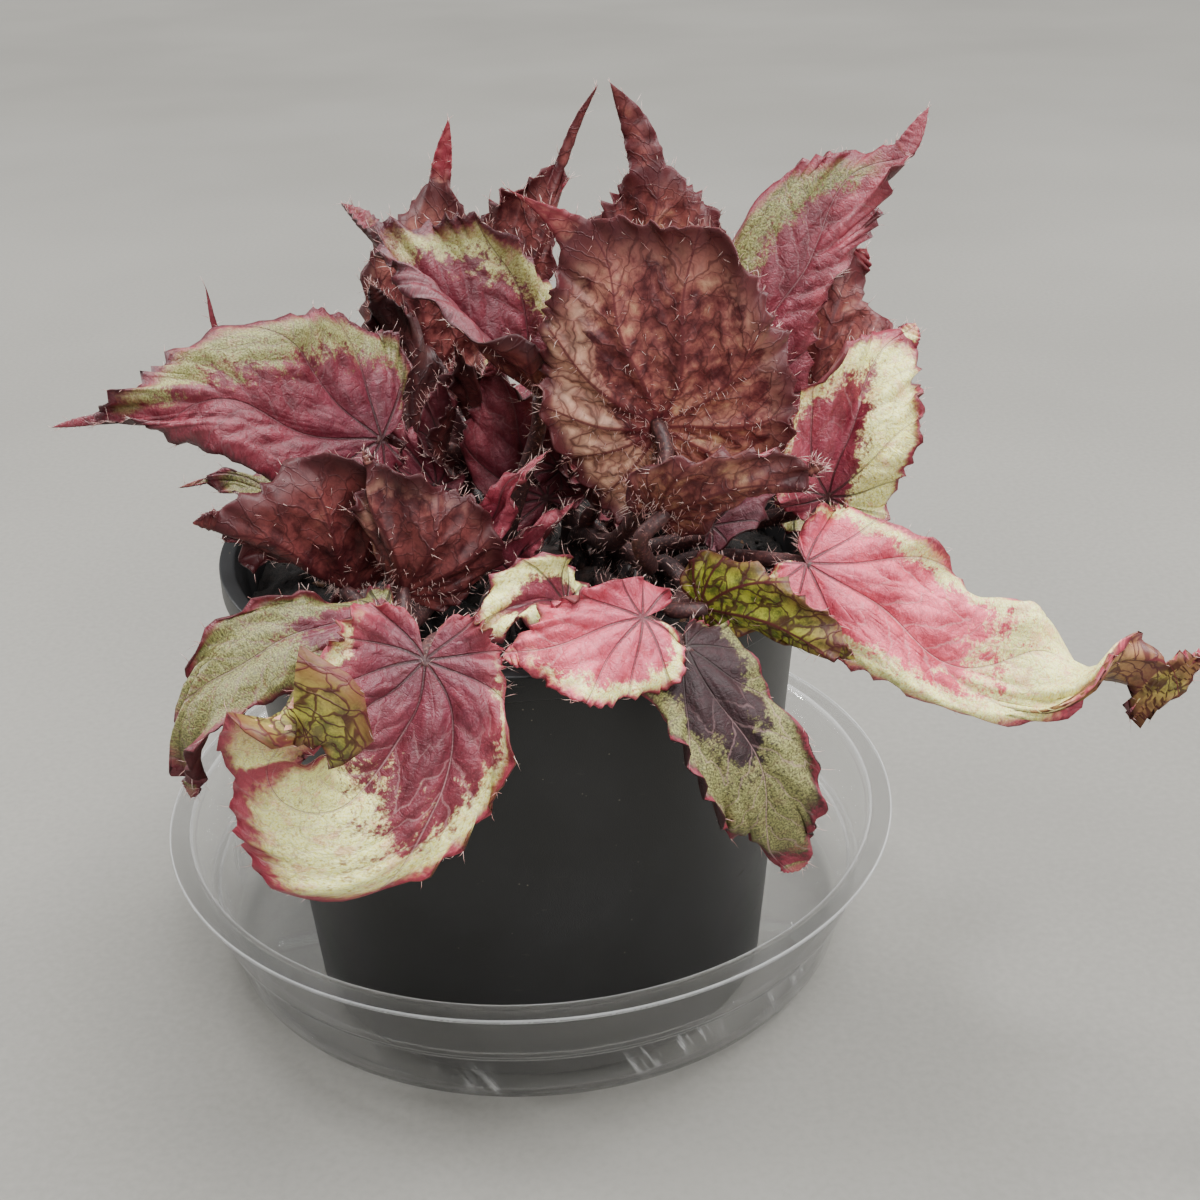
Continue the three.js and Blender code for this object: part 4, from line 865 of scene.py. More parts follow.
def blade(shell, leaf, chance):
    # a thin closed sheet: its body fans out from the stalk, and the drawn-out tip is a strip before it
    packed, fine, rings = leafShape["grids"][leaf["grid"]]
    outer = np.linspace(1, 1 / packed, fine, endpoint=False)
    middle = np.linspace(-1 / packed, 1 / packed, 2 * leafShape["tipColumns"] + 1)
    column = np.concatenate([-outer, middle, outer[::-1]])
    ring = np.linspace(0, 1, rings + 1)[1:] ** leafShape["ringSpread"]
    marginAcross, marginAlong, cut = marginPlace(leaf, column, chance)
    across = marginAcross[:, None] * ring + cut[:, :1] * ring ** leafShape["cutFade"]
    along = marginAlong[:, None] * ring + cut[:, 1:] * ring ** leafShape["cutFade"]
    lift, vein, loose = bladeLift(leaf, column, ring, across, along)
    far = np.hypot(marginAcross, marginAlong)
    drawIn, rise = rolledMargin(leaf, column, ring, far, loose)
    body = bladePlace(leaf, across * drawIn, along * drawIn, lift + rise)
    apex = bladePlace(leaf, np.zeros(1), np.zeros(1), np.zeros(1))
    foot = marginAcross[np.searchsorted(column, 1 / packed - 1e-9)] / leaf["half"][1]
    tip, tipAcross, tipAlong, tipRing, tipShare = tipStrip(leaf, foot)
    length = leaf["line"].length
    point = bladePlace(leaf, np.zeros(1), np.full(1, length), np.zeros(1))

    def listed(first, bodyValues, tipValues, last):
        bodyValues = np.broadcast_to(bodyValues, across.shape).ravel()
        tipValues = np.broadcast_to(tipValues, tipAcross.shape).ravel()
        return np.concatenate([[first], bodyValues, tipValues, [last]])

    points = np.vstack([apex, body.reshape(-1, 3), tip.reshape(-1, 3), point])
    flatRing = listed(0, ring, tipRing, 1)
    veins = listed(0, vein, 0.0, 0)
    turn = listed(0.5, (column[:, None] + 1) / 2, 0.5, 0.5)
    colours = bladeColours(leaf, listed(0, across, tipAcross, 0), listed(0, along, tipAlong, length),
                           flatRing, listed(0, 0.0, tipShare[:, None], 1), turn)
    quads, triangles, edge = bladeFaces(len(column), rings, tipAcross.shape)
    normals = np.zeros(points.shape)
    for group in (quads, triangles):
        span = points[group[:, 2]] - points[group[:, 0]]
        other = points[group[:, -1]] - points[group[:, 1]]
        for corner in group.T:
            np.add.at(normals, corner, np.cross(span, other))
    normals = unit(normals)
    thick = mixed(leafShape["thickness"], leafShape["rimThickness"], flatRing[:, None] ** 3) / 2
    upper = points + normals * thick
    lower = points - normals * (thick + leafShape["ridge"] * veins[:, None])
    count = len(points)
    ahead = np.roll(edge, -1)
    rim = np.stack([edge, ahead, ahead + count, edge + count], -1)
    both = {key: np.vstack([given, given]) for key, given in colours.items()}
    start = shell.count
    shell.add(np.vstack([upper, lower]), [quads, triangles], 0, **both)
    for group in (quads[:, ::-1] + count, triangles[:, ::-1] + count, rim):
        shell.faces.append((group + start, 1))
    return points, normals, edge, flatRing, veins


hairShape = {
    "thick": 0.17,
    "middle": 0.7,           # share of the thickness halfway
    "sunk": 0.08,            # share of the length under the skin
    "bend": 0.28,
    "margin": 2.6,           # hairs for each millimetre of the blade's length
    "marginLength": (1.0, 3.4),
    "marginSpread": 0.45,
    "under": 0.11,           # and for each square millimetre
    "underLength": (1.0, 3.2),
    "underSpread": 0.5,
    "onSkin": 0.25,          # how often a hair below stands on plain skin, and on a vein
    "onVein": 3,
    "stalk": 80,             # on each span of millimetres
    "stalkSpan": 60,
    "stalkLength": (1.2, 3.2),
    "stalkSpread": 0.4,
}


def hairs(roots, headings, lengths, chance):
    # tapered three-sided hairs, each bent a little
    count = len(roots)
    headings = unit(headings)
    helper = np.where(np.abs(headings[:, 2:]) < 0.9, [[0.0, 0.0, 1.0]], [[1.0, 0.0, 0.0]])
    across = unit(np.cross(headings, helper))
    up = np.cross(headings, across)
    lengths = lengths[:, None]
    bend = unit(chance.normal(size=(count, 3))) * lengths * hairShape["bend"]
    points = []
    for share, size in ((-hairShape["sunk"], 1), (0.5, hairShape["middle"])):
        centre = roots + headings * lengths * share + bend * share ** 2
        for corner in range(3):
            turn = corner / 3 * 2 * math.pi
            out = across * math.cos(turn) + up * math.sin(turn)
            points.append(centre + out * hairShape["thick"] / 2 * size)
    points.append(roots + headings * lengths + bend)
    points = np.stack(points, 1).reshape(-1, 3)
    base = np.arange(count)[:, None] * 7
    quads = np.vstack([base + [a, (a + 1) % 3, (a + 1) % 3 + 3, a + 3] for a in range(3)])
    tips = np.vstack([base + [a + 3, (a + 1) % 3 + 3, 6] for a in range(3)] + [base + [2, 1, 0]])
    return points, [quads, tips]


def bladeHairs(shell, leaf, grown, chance):
    # bristles on the margin and on the underside
    points, normals, edge, ring, veins = grown
    shape = hairShape
    rim = edge[ring[edge] > 0.9]
    picked = chance.choice(rim, int(shape["margin"] * leaf["hairy"] * leaf["line"].length))
    inward = unit(points.mean(0) - points[picked])
    flat = inward - normals[picked] * dot(inward, normals[picked])
    spread = chance.normal(size=flat.shape) * shape["marginSpread"]
    lengths = chance.uniform(*shape["marginLength"], len(picked))
    shell.add(*hairs(points[picked], -unit(flat) + spread, lengths, chance), 2)
    below = shape["onSkin"] + veins * shape["onVein"]
    wanted = int(shape["under"] * leaf["hairy"] * leaf["line"].length * sum(leaf["half"]))
    picked = chance.choice(len(points), wanted, p=below / below.sum())
    lengths = chance.uniform(*shape["underLength"], wanted)
    roots = points[picked] - normals[picked] * leafShape["thickness"] / 2
    spread = chance.normal(size=roots.shape) * shape["underSpread"]
    shell.add(*hairs(roots, -normals[picked] + spread, lengths, chance), 2)


stalkShape = {
    "foot": 2.7,
    "top": 1.9,
    "rise": 7.0,
    "run": 9.0,
    "sunk": 2.0,            # how deep the foot stands in the rhizome
    "flare": 0.45,
    "flareReach": 3.5,
    "neck": 0.25,           # how much it narrows under the blade, and from how far
    "neckReach": 2.5,
    "sides": 14,
    "rows": 40,
}


def stemRadius(stem, share, length):
    # tapers over its last part and swells at every knob
    knobPitch = 18
    taper = 1 - np.maximum(0, share - 0.7)
    return stem["radius"] * taper * (1 + 0.05 * np.cos(2 * math.pi * share * length / knobPitch))


def stalkLine(leaf):
    if "foot" in leaf:
        foot = leaf["foot"]
        outward = np.array([0, 0, 1.0])
    else:
        name, share, lean = leaf["root"]
        stem = stemLines[name]
        line = Line(stem["line"])
        heading = line.heading(share)
        across = unit(np.cross([0, 0, 1], heading))
        lean = math.radians(lean)
        outward = np.cross(heading, across) * math.cos(lean) + across * math.sin(lean)
        foot = line.at(share) + outward * (stemRadius(stem, share, line.length) - stalkShape["sunk"])
    place, heading, face, _, _ = ribFrame(leaf, np.zeros(1))
    ahead, upward = leaf["reach"]
    reach = unit(heading[0] * ahead + face[0] * upward)
    top = place[0] + heading[0] * stalkShape["top"] - face[0] * 0.2
    apart = np.linalg.norm(top - foot)
    rise = min(stalkShape["rise"], apart / 4) + stalkShape["sunk"]
    bends = [foot + outward * rise, *leaf["via"], top - reach * min(stalkShape["run"], apart / 3)]
    return Line([foot, *bends, top]), outward


def stalk(shell, leaf, finish, chance):
    # a hairy stalk, flared where it leaves the rhizome
    shape = stalkShape
    line, outward = stalkLine(leaf)
    shares = np.linspace(0, 1, shape["rows"])
    far = shares * line.length
    radii = mixed(shape["foot"], shape["top"], shares)
    radii = radii * (1 + shape["flare"] * np.exp(-far / shape["flareReach"]))
    radii = radii * (1 - shape["neck"] * eased(far, line.length - shape["neckReach"], line.length))
    seed = leaf["seed"]

    def ribbed(share, turn):
        return 1 + 0.03 * np.cos(turn * 5 + seed) + 0.02 * np.sin(share * line.length * 0.3 + turn + seed)

    first = np.cross(outward, [0, 1, 0])
    points, faces, out = tube(line, shares, radii, shape["sides"], first, ribbed)
    along = np.append(np.repeat(far, shape["sides"]), [0, line.length])
    values = np.stack([along, along * 0 + line.length, along * 0 + seed], -1)
    shell.add(points, faces, finish, stalkPlace=values)
    wanted = int(hairShape["stalk"] * line.length / hairShape["stalkSpan"])
    picked = chance.choice(len(out), wanted)
    lengths = chance.uniform(*hairShape["stalkLength"], wanted)
    headings = out[picked] + chance.normal(size=(wanted, 3)) * hairShape["stalkSpread"]
    shell.add(*hairs(points[picked], headings, lengths, chance), 2)


stalkColours = {
    # foot: near black, painted shade where the stalks crowd together over the soil
    "foot": paint(24, 16, 17),
    "top": paint(66, 40, 41),
    "streak": paint(120, 71, 67),
    "fleck": paint(151, 110, 96),
    "hairDark": paint(196, 140, 134),
    "hairPale": paint(226, 200, 190),
}


def stalkFinish():
    made, start = newFinish("stalk skin")
    far, length, _ = stored(start, "stalkPlace").parts()
    spot = placeInMm(start)
    streak = spot.noise(0.9, 3.0)
    # lighter up the stalk: the dark foot is painted shade of the crowded middle, and the pale streaks fade
    # out with it
    up = (far / length).ease(0.0, 0.9)
    skin = up.between(stalkColours["foot"], stalkColours["top"])
    skin = (streak.ease(0.4, 0.75) * up * 0.6).between(skin, stalkColours["streak"])
    fleck = spot.cells(1.1, "F1").ease(0.18, 0.3)
    skin = ((1 - fleck) * 0.4).between(skin, stalkColours["fleck"])
    closeFinish(start, {"Base Color": skin, "Roughness": 0.42 + streak * 0.2}, streak, 0.25)
    return made


def hairFinish():
    made, start = newFinish("pale bristles")
    shade = placeInMm(start).noise(0.35)
    colour = shade.ease(0.35, 0.65).between(stalkColours["hairDark"], stalkColours["hairPale"])
    closeFinish(start, {"Base Color": colour, "Roughness": 0.45})
    return made


def leafLines(start):
    # masks of main, side and net veins, and how far inside a cell of the net a place is
    across, along, ring = stored(start, "leafPlace").parts()
    _, seed, _ = stored(start, "leafMore").parts()
    step = math.radians(leafShape["veinStep"])
    reach = (across * across + along * along) ** 0.5
    angle = start.sum("ARCTAN2", across, along)
    sway = start.sum("SINE", reach * 0.12 + seed + start.sum("ROUND", angle / step))
    bent = angle * (1 + reach * 0.004) + sway * 0.09
    sector = bent / step
    apart = abs(sector - start.sum("ROUND", sector)) * step * reach
    flat = joined(across + seed * 31, along, seed * 7)
    wander = flat.noise(0.22) - 0.5
    other = joined(along, across + seed * 13, seed).noise(0.22) - 0.5
    phase = (reach - apart * 1.1 + wander * 7) / leafShape["sideVeinStep"]
    side = abs(phase - start.sum("ROUND", phase)) * (leafShape["sideVeinStep"] * 0.7)
    netPlace = joined(across + seed * 31 + wander * 6, along + other * 6, 0.0)
    coarse = netPlace.cells(0.2) * 5
    fine = netPlace.cells(0.5) * 2
    nearest = coarse.least(side).least(apart)
    return {
        "main": 1 - (apart / (0.46 - ring * 0.2)).ease(0.4, 1.3),
        "side": 1 - (side / (0.4 - ring * 0.12)).ease(0.3, 1.2),
        "net": 1 - coarse.ease(0.04, 0.2),
        "broad": 1 - nearest.ease(0.12, 0.42),
        "fineNet": 1 - fine.ease(0.05, 0.26),
        "cell": nearest.ease(0.1, 1.6),
        "streak": joined(bent * 9, reach * 0.09, seed * 5).noise(1.0, 4.0, 0.65),
        "reach": reach, "ring": ring, "flat": flat,
    }


# Pairs run from a maroon leaf or margin to a pink one, but flush, cream and silver green from dark
# to pale.
topColours = {
    "deep": (paint(46, 12, 20), paint(172, 34, 58)),
    "bright": (paint(92, 28, 42), paint(253, 110, 130)),
    "flush": (paint(160, 44, 62), paint(236, 112, 122)),
    "frostAndSheen": paint(250, 176, 190),
    "nearStalk": (paint(70, 34, 50), paint(160, 76, 100)),
    # painted shade colour for leaves in the shadow of others
    "paintedShade": paint(30, 16, 17),
    "cream": (paint(238, 234, 114), paint(255, 255, 186)),
    "silverGreen": (paint(78, 78, 44), paint(150, 148, 90)),
    "fleck": paint(46, 48, 24),
    "blush": paint(238, 140, 140),
    "lineNear": paint(46, 36, 34),
    "lineFar": (paint(92, 60, 68), paint(232, 186, 184)),
    "net": paint(66, 20, 30),
    "margin": (paint(36, 12, 17), paint(158, 52, 70)),
    "tip": (paint(104, 30, 40), paint(206, 96, 112)),
}


def leafTop():
    made, start = newFinish("leaf upper side")
    colours = topColours
    veins = leafLines(start)
    flat = veins["flat"]
    streak = veins["streak"]
    rose, silver, _ = stored(start, "leafMood").parts()
    band, inner, rim = stored(start, "leafBand").parts()
    paintedShade, _, tip = stored(start, "leafMore").parts()
    broad = flat.noise(0.07, 2.0)
    patch = flat.noise(0.3, 4.0, 0.6)
    blotch = flat.noise(0.14, 3.0, 0.6)
    grain = flat.noise(2.2, 3.0, 0.7)
    speck = flat.noise(1.1, 2.0, 0.6)

    # the middle
    deep = rose.between(*colours["deep"])
    bright = rose.between(*colours["bright"])
    skin = (broad * 0.6 + patch * 0.35 + streak * 0.45).ease(0.48, 0.88).between(deep, bright)
    flush = (veins["ring"] + (patch - 0.5) * 0.3).ease(0.5, 0.95) * rim * 0.5
    flushed = (patch + streak * 0.5).ease(0.5, 1.0).between(*colours["flush"])
    skin = flush.between(skin, flushed)
    # pale pink frost: the leaf's frosted texture and a painted sheen along the vein streaks, stronger on
    # pinker leaves
    frostAndSheen = grain.ease(0.48, 0.72) * (0.06 + rose * 0.42) * (streak + broad).ease(0.75, 1.2)
    skin = frostAndSheen.between(skin, colours["frostAndSheen"])
    nearStalk = (1 - veins["reach"].ease(6, 30)) * patch.ease(0.3, 0.6)
    skin = (nearStalk * 0.4).between(skin, rose.between(*colours["nearStalk"]))
    # painted shade: leaves lying in the shadow of others darken towards near black and turn a little
    # rougher
    skin = (paintedShade * 0.85).between(skin, colours["paintedShade"])

    # the pale band
    ring = veins["ring"] + (patch - 0.5) * 0.45 + (blotch - 0.5) * 0.45 + (streak - 0.5) * 0.25
    edge = veins["ring"] + (streak - 0.5) * 0.2 + (speck - 0.5) * 0.1
    inBand = (ring + (speck - 0.5) * 0.3 - inner).ease(-0.06, 0.09) * (1 - edge.ease(0.87, 0.97))
    inBand = inBand * (band * 1.6 + (broad - 0.5) * 1.2 - 0.3).ease(0.0, 0.4)
    inBand = inBand * (0.6 + speck.ease(0.3, 0.48) * 0.4)
    cream = grain.ease(0.36, 0.6).between(*colours["cream"])
    green = grain.ease(0.35, 0.65).between(*colours["silverGreen"])
    pale = (silver + (broad - 0.5) * 0.5).ease(0.1, 0.9).between(cream, green)
    flecks = flat.noise(0.6, 3.0, 0.75).ease(0.58, 0.7) * silver * 0.55
    pale = flecks.between(pale, colours["fleck"])
    blush = patch.ease(0.52, 0.66) * (1 - silver) * 0.4
    pale = blush.between(pale, colours["blush"])
    skin = inBand.between(skin, pale)

    # veins, margin and tip
    lineNear = (veins["main"] * (1 - veins["reach"].ease(4, 30))) * 0.75
    skin = lineNear.between(skin, colours["lineNear"])
    lineFar = veins["main"].most(veins["side"] * 0.7) * veins["reach"].ease(8, 30) * 0.4
    skin = lineFar.between(skin, rose.most(rim * 0.8).between(*colours["lineFar"]))
    skin = (veins["net"] * 0.2 + veins["fineNet"] * 0.1).between(skin, colours["net"])
    margin = (veins["ring"] + (speck - 0.5) * 0.16 + (patch - 0.5) * 0.12).ease(0.92, 1.0)
    skin = (margin * 0.85).between(skin, rim.between(*colours["margin"]))
    skin = (tip.ease(0.0, 0.5) * 0.7).between(skin, rim.between(*colours["tip"]))
    height = veins["cell"] * 0.4 + grain * 0.4 - veins["fineNet"] * 0.1 + patch * 0.3 - veins["main"] * 0.5
    gloss = 0.3 + grain * 0.24 + paintedShade * 0.25
    inputs = {"Base Color": skin, "Roughness": gloss, "Specular IOR Level": leafShape["shine"]}
    closeFinish(start, inputs, height, 0.45)
    return made


# Pairs as above, but olive and leaf green run from dark to pale, and lines from a red leaf to a green.
underColours = {
    "red": (paint(96, 38, 39), paint(204, 116, 110)),
    "deepRed": (paint(44, 13, 17), paint(90, 28, 34)),
    "olive": (paint(108, 84, 54), paint(218, 184, 134)),
    "leafGreen": (paint(92, 108, 34), paint(182, 188, 66)),
    "band": paint(240, 190, 158),
    "lines": (paint(54, 20, 24), paint(70, 24, 30)),
    "main": (paint(56, 14, 20), paint(120, 52, 56)),
    "margin": (paint(38, 15, 18), paint(116, 44, 52)),
    "tip": paint(150, 46, 60),
    # painted shade colour for leaves in the shadow of others
    "paintedShade": paint(32, 18, 19),
}


def leafUnder():
    made, start = newFinish("leaf underside")
    colours = underColours
    veins = leafLines(start)
    flat = veins["flat"]
    streak = veins["streak"]
    rose, _, green = stored(start, "leafMood").parts()
    band, inner, rim = stored(start, "leafBand").parts()
    paintedShade, _, tip = stored(start, "leafMore").parts()
    broad = flat.noise(0.06, 2.0)
    patch = flat.noise(0.28, 4.0, 0.6)
    grain = flat.noise(2.4, 2.0, 0.6)

    red = rose.between(*colours["red"])
    deepRed = rose.between(*colours["deepRed"])
    skin = (patch * 0.6 + broad * 0.35 + streak * 0.15).ease(0.38, 0.7).between(deepRed, red)
    olive = (patch + grain * 0.4).ease(0.5, 0.85).between(*colours["olive"])
    isGreen = green.ease(0.85, 1.05)
    leafy = isGreen.between(olive, (patch + grain * 0.3).ease(0.5, 0.8).between(*colours["leafGreen"]))
    inside = green * 1.5 - 0.7 + (broad - 0.5) * 1.6 + (streak - 0.5) * 0.4 + (patch - 0.5) * 1.4
    inside = inside.ease(0.0, 0.9) * (1 - veins["ring"].ease(0.6, 0.92) * (1.0 - green * 0.4))
    skin = (inside * (0.25 + veins["cell"] * 0.6).most(isGreen * 0.92)).between(skin, leafy)
    ring = veins["ring"] + (patch - 0.5) * 0.5 + (streak - 0.5) * 0.4
    pale = (ring - inner).ease(0.0, 0.12) * (1 - veins["ring"].ease(0.84, 0.96))
    pale = pale * band * (1 - isGreen * 0.9) * 0.9
    skin = (pale * (0.35 + veins["cell"] * 0.65)).between(skin, colours["band"])

    lines = (veins["net"] * 0.42).most(veins["fineNet"] * 0.16).most(veins["side"] * 0.55)
    lines = lines.most(veins["broad"] * isGreen * 0.85)
    skin = lines.between(skin, isGreen.between(*colours["lines"]))
    skin = (veins["main"] * 0.8).between(skin, rose.between(*colours["main"]))
    margin = (veins["ring"] + (patch - 0.5) * 0.3 - isGreen * 0.08).ease(0.76, 0.98)
    skin = (margin * 0.85).between(skin, rim.between(*colours["margin"]))
    redTip = tip.ease(0.0, 0.3) * rose.ease(0.3, 0.7) * (1 - isGreen) * 0.8
    skin = redTip.between(skin, colours["tip"])
    # painted shade: leaves lying in the shadow of others darken towards near black
    skin = (paintedShade * 0.85).between(skin, colours["paintedShade"])
    height = patch * 0.8 + veins["net"] * 0.25 + veins["side"] * 0.5 + grain * 0.1
    gloss = 0.36 + grain * 0.2
    inputs = {"Base Color": skin, "Roughness": gloss, "Specular IOR Level": leafShape["shineBelow"]}
    closeFinish(start, inputs, height, 0.2)
    return made


def growLeaves(planned):
    finishes = [leafTop(), leafUnder(), hairFinish(), stalkFinish()]
    for number, leaf in enumerate(planned):
        name = leaf["name"]
        chance = np.random.default_rng(number + 5)
        bladeShell = Shell()
        grown = blade(bladeShell, leaf, chance)
        bladeHairs(bladeShell, leaf, grown, chance)
        stalkShell = bladeShell if leaf["young"] else Shell()
        stalk(stalkShell, leaf, 3, chance)
        if leaf["young"]:
            packed = [] if "foot" in leaf else [f"leaf_{name}"]
            piece(f"grown_leaf_{name}", bladeShell.mesh(name, finishes), "leaf", *packed)
            continue
        bladeMesh = bladeShell.mesh(f"blade {name}", finishes[:3])
        piece(f"grown_blade_{name}", bladeMesh, "leaf", f"blade_{name}")
        piece(f"grown_stalk_{name}", stalkShell.mesh(f"stalk {name}", finishes), "stalk", f"stalk_{name}")


# Rhizome and soil

rhizomeShape = {
    "sides": 26,
    "rows": 70,
    "ringPitch": 4.2,       # between the scars of fallen leaves
    "ringHeight": 0.03,
    "ends": 5.0,            # how far back an arm's end is rounded
    "scales": 5,            # dry scales round each stalk's foot
    "scaleLength": (4.0, 8.0),
    "scaleHalf": 1.3,
    "scaleOut": (3.0, 4.6, 5.4),    # from the stalk's middle to a scale's foot, middle and tip
    "dark": paint(22, 16, 15),
    "light": paint(62, 42, 36),
    "dry": paint(104, 76, 62),
}

soilShape = {
    "level": 124.5,
    "bump": 1.3,
    "edgeDrop": 3.0,
    "rings": 84,
    "segments": 220,
    "crumb": 0.9,
    "slopeWidth": 16.0,     # of the strip at the pot's wall where it drops
    "bits": 420,
    "bitSize": (0.7, 2.6),
    "barkShare": 0.22,
    "barkForm": (1.7, 0.7, 0.5),
    "earth": (paint(14, 12, 12), paint(50, 41, 36)),
    "bark": (paint(66, 44, 32), paint(142, 104, 76)),
}


def rhizomeFinish():
    made, start = newFinish("rhizome bark")
    spot = placeInMm(start)
    rough = spot.noise(0.5, 4.0, 0.65)
    fine = spot.noise(2.2, 2.0)
    skin = rough.ease(0.35, 0.7).between(rhizomeShape["dark"], rhizomeShape["light"])
    skin = (fine.ease(0.6, 0.75) * 0.3).between(skin, rhizomeShape["dry"])
    closeFinish(start, {"Base Color": skin, "Roughness": 0.6 + fine * 0.25}, rough + fine * 0.4, 0.7)
    return made


def growRhizome(planned):
    shell = Shell()
    shape = rhizomeShape
    chance = np.random.default_rng(61)
    for stem in stemLines.values():
        line = Line(stem["line"])
        shares = np.linspace(0, 1, shape["rows"])
        far = shares * line.length
        radii = stemRadius(stem, shares, line.length)
        radii = radii * (1 + shape["ringHeight"] * np.cos(2 * math.pi * far / shape["ringPitch"]))
        toEnd = np.minimum(far, line.length - far) + 0.3
        radii = radii * np.minimum(1, toEnd / shape["ends"]) ** 0.4
        phase = chance.uniform(0, 6, 2)

        def knobbly(share, turn, length=line.length, phase=phase):
            wave = np.sin(turn * 3 + share * length * 0.4 + phase[0])
            return 1 + 0.05 * wave + 0.04 * np.sin(turn * 7 - share * length * 0.9 + phase[1])

        points, faces, _ = tube(line, shares, radii, shape["sides"], [0, 0, 1], knobbly)
        shell.add(points, faces)
    packed = planned[:len(leaves)]
    for leaf in packed:
        line, outward = stalkLine(leaf)
        foot = line.at(0.0) + outward * (stalkShape["sunk"] - 0.6)
        across = unit(np.cross(outward, [0.3, 1, 0.1]))
        up = np.cross(outward, across)
        for number in range(shape["scales"]):
            turn = number / shape["scales"] * 2 * math.pi + leaf["seed"]
            out = across * math.cos(turn) + up * math.sin(turn)
            long = chance.uniform(*shape["scaleLength"])
            near, middle, tip = shape["scaleOut"]
            bend = [foot + out * near - outward, foot + out * middle + outward * long * 0.5,
                    foot + out * tip + outward * long]
            shares = np.linspace(0, 1, 7)
            radii = shape["scaleHalf"] * np.sin(math.pi * (shares * 0.8 + 0.18)) ** 0.8 * (1.05 - shares)
            points, faces, _ = tube(Line(bend), shares, radii + 0.05, 6, np.cross(out, outward))
            shell.add(points, faces)
    piece("grown_rhizome", shell.mesh("rhizome", [rhizomeFinish()]), "rhizome", "rhizome")


def soilFinish(name, colours):
    made, start = newFinish(name)
    spot = placeInMm(start)
    lump = spot.noise(0.4, 4.0, 0.7)
    grain = spot.noise(2.6, 3.0, 0.7)
    earth = (lump * 0.6 + grain * 0.4).ease(0.4, 0.68).between(*colours)
    closeFinish(start, {"Base Color": earth, "Roughness": 0.82 + grain * 0.15}, lump + grain, 0.8)
    return made


def soilTop(x, y, far, edge):
    # waves and crumbs, lower towards the pot's wall
    coarse = np.sin(x * 0.21 + 1.3) * np.cos(y * 0.19 - 0.4)
    fine = 0.6 * np.sin(x * 0.47 - y * 0.31) * np.cos(y * 0.53 + 0.9)
    crumb = np.sin(x * 1.31 + 2 * np.sin(y * 0.9)) * np.sin(y * 1.17 + 2 * np.sin(x * 0.8))
    crumb = crumb + 0.5 * np.sin(x * 2.9 + y * 1.3) * np.sin(y * 3.1 - x * 1.9)
    top = soilShape["level"] + soilShape["bump"] * (coarse + fine) + soilShape["crumb"] * crumb * 0.6
    return top - soilShape["edgeDrop"] * eased(far, edge - soilShape["slopeWidth"], edge)


def fillSoil():
    shell = Shell()
    edge = potInside(soilShape["level"] - soilShape["edgeDrop"]) - 0.1
    low = potShape["bottom"] + potShape["footHeight"] + potShape["wall"] + 0.2
    share = np.linspace(0, 1, soilShape["rings"] + 1)
    radius = np.append(share * edge, [potInside(low) - 0.2, 0])
    profile = np.stack([radius, np.full(len(radius), low)], -1)
    last = len(share)

    def lift(radius, height, turn):
        x = radius * np.cos(turn)
        y = radius * np.sin(turn)
        return np.where(np.arange(radius.shape[1]) < last, soilTop(x, y, radius, edge) - low, 0)

    points, quads = turned(profile, soilShape["segments"], lift)
    shell.add(points, [quads[:, ::-1]])
    chance = np.random.default_rng(77)
    ball = bmesh.new()
    bmesh.ops.create_icosphere(ball, subdivisions=1, radius=1)
    corners = np.array([corner.co for corner in ball.verts])
    sides = np.array([[corner.index for corner in face.verts] for face in ball.faces])
    ball.free()
    for number in range(soilShape["bits"]):
        far = edge * math.sqrt(chance.uniform(0.0, 0.97))
        turn = chance.uniform(0, 2 * math.pi)
        x, y = far * math.cos(turn), far * math.sin(turn)
        size = chance.uniform(*soilShape["bitSize"]) * chance.uniform(0.5, 1, 3)
        isBark = number < soilShape["bits"] * soilShape["barkShare"]
        if isBark:
            size = size * soilShape["barkForm"]
        bit = corners * (1 + chance.uniform(-0.25, 0.25, (len(corners), 1))) * size
        spin = np.array(Matrix.Rotation(chance.uniform(0, 6), 3, unit(chance.normal(size=3))))
        place = [x, y, soilTop(x, y, far, edge) + size.min() * 0.3]
        shell.add(bit @ spin.T + place, [sides], 1 if isBark else 0)
    finishes = [soilFinish("dark soil", soilShape["earth"]), soilFinish("bark bits", soilShape["bark"])]
    piece("filled_soil", welded(shell.mesh("soil", finishes)), "soil", "soil")


# Pot and saucer

potShape = {
    "rimRadius": 82.0,
    "rimTop": 136.6,
    "rimBand": 7.0,
    "rimInner": 78.0,
    "neckRadius": 77.5,
    "neckHeight": 131.6,
    "baseRadius": 67.3,
    "wall": 1.2,
    "bottom": 3.0,
    "footHeight": 3.0,
    "footWidth": 5.0,
    "drains": 6,
    "drainRadius": 5.0,
    "drainCircle": 42.0,
    "sides": 180,
    "round": 0.7,
    "plastic": (paint(11, 11, 12), paint(22, 22, 24)),
    "dust": paint(120, 112, 98),
    "scuff": paint(88, 84, 76),
}

saucerShape = {
    "centre": (-1.5, 20.0),
    "lipRadius": 110.5,
    "height": 41.5,
    "wall": 1.2,
    "floorRadius": 91.0,
    "lowRadius": 95.5,
    "ledgeRadius": 99.0,
    "ledgeHeight": 20.0,
    "ledgeWidth": 2.0,
    "mouthRadius": 103.9,
    "round": 2.6,
    "ribs": 12,
    "ribInner": 22.0,
    "ribLength": 62.0,
    "ribWidth": 3.0,
    "ribHeight": 1.5,
    "sides": 432,
    "clear": (paint(255, 255, 255), paint(246, 249, 250)),
    # the second pair: painted highlight colour of the lines at the lip, mouth and ledge and of the glint
    # streaks
    "highlightWhite": (paint(232, 233, 232), paint(250, 250, 250)),
    "faceOn": 0.26,         # how solid it looks face on, and how much more seen edge on
    "edgeOn": 0.7,
}


def potInside(height):
    low = potShape["bottom"] + potShape["footHeight"] + potShape["wall"]
    share = (height - low) / (potShape["neckHeight"] - low)
    return mixed(potShape["baseRadius"], potShape["neckRadius"], share) - potShape["wall"]


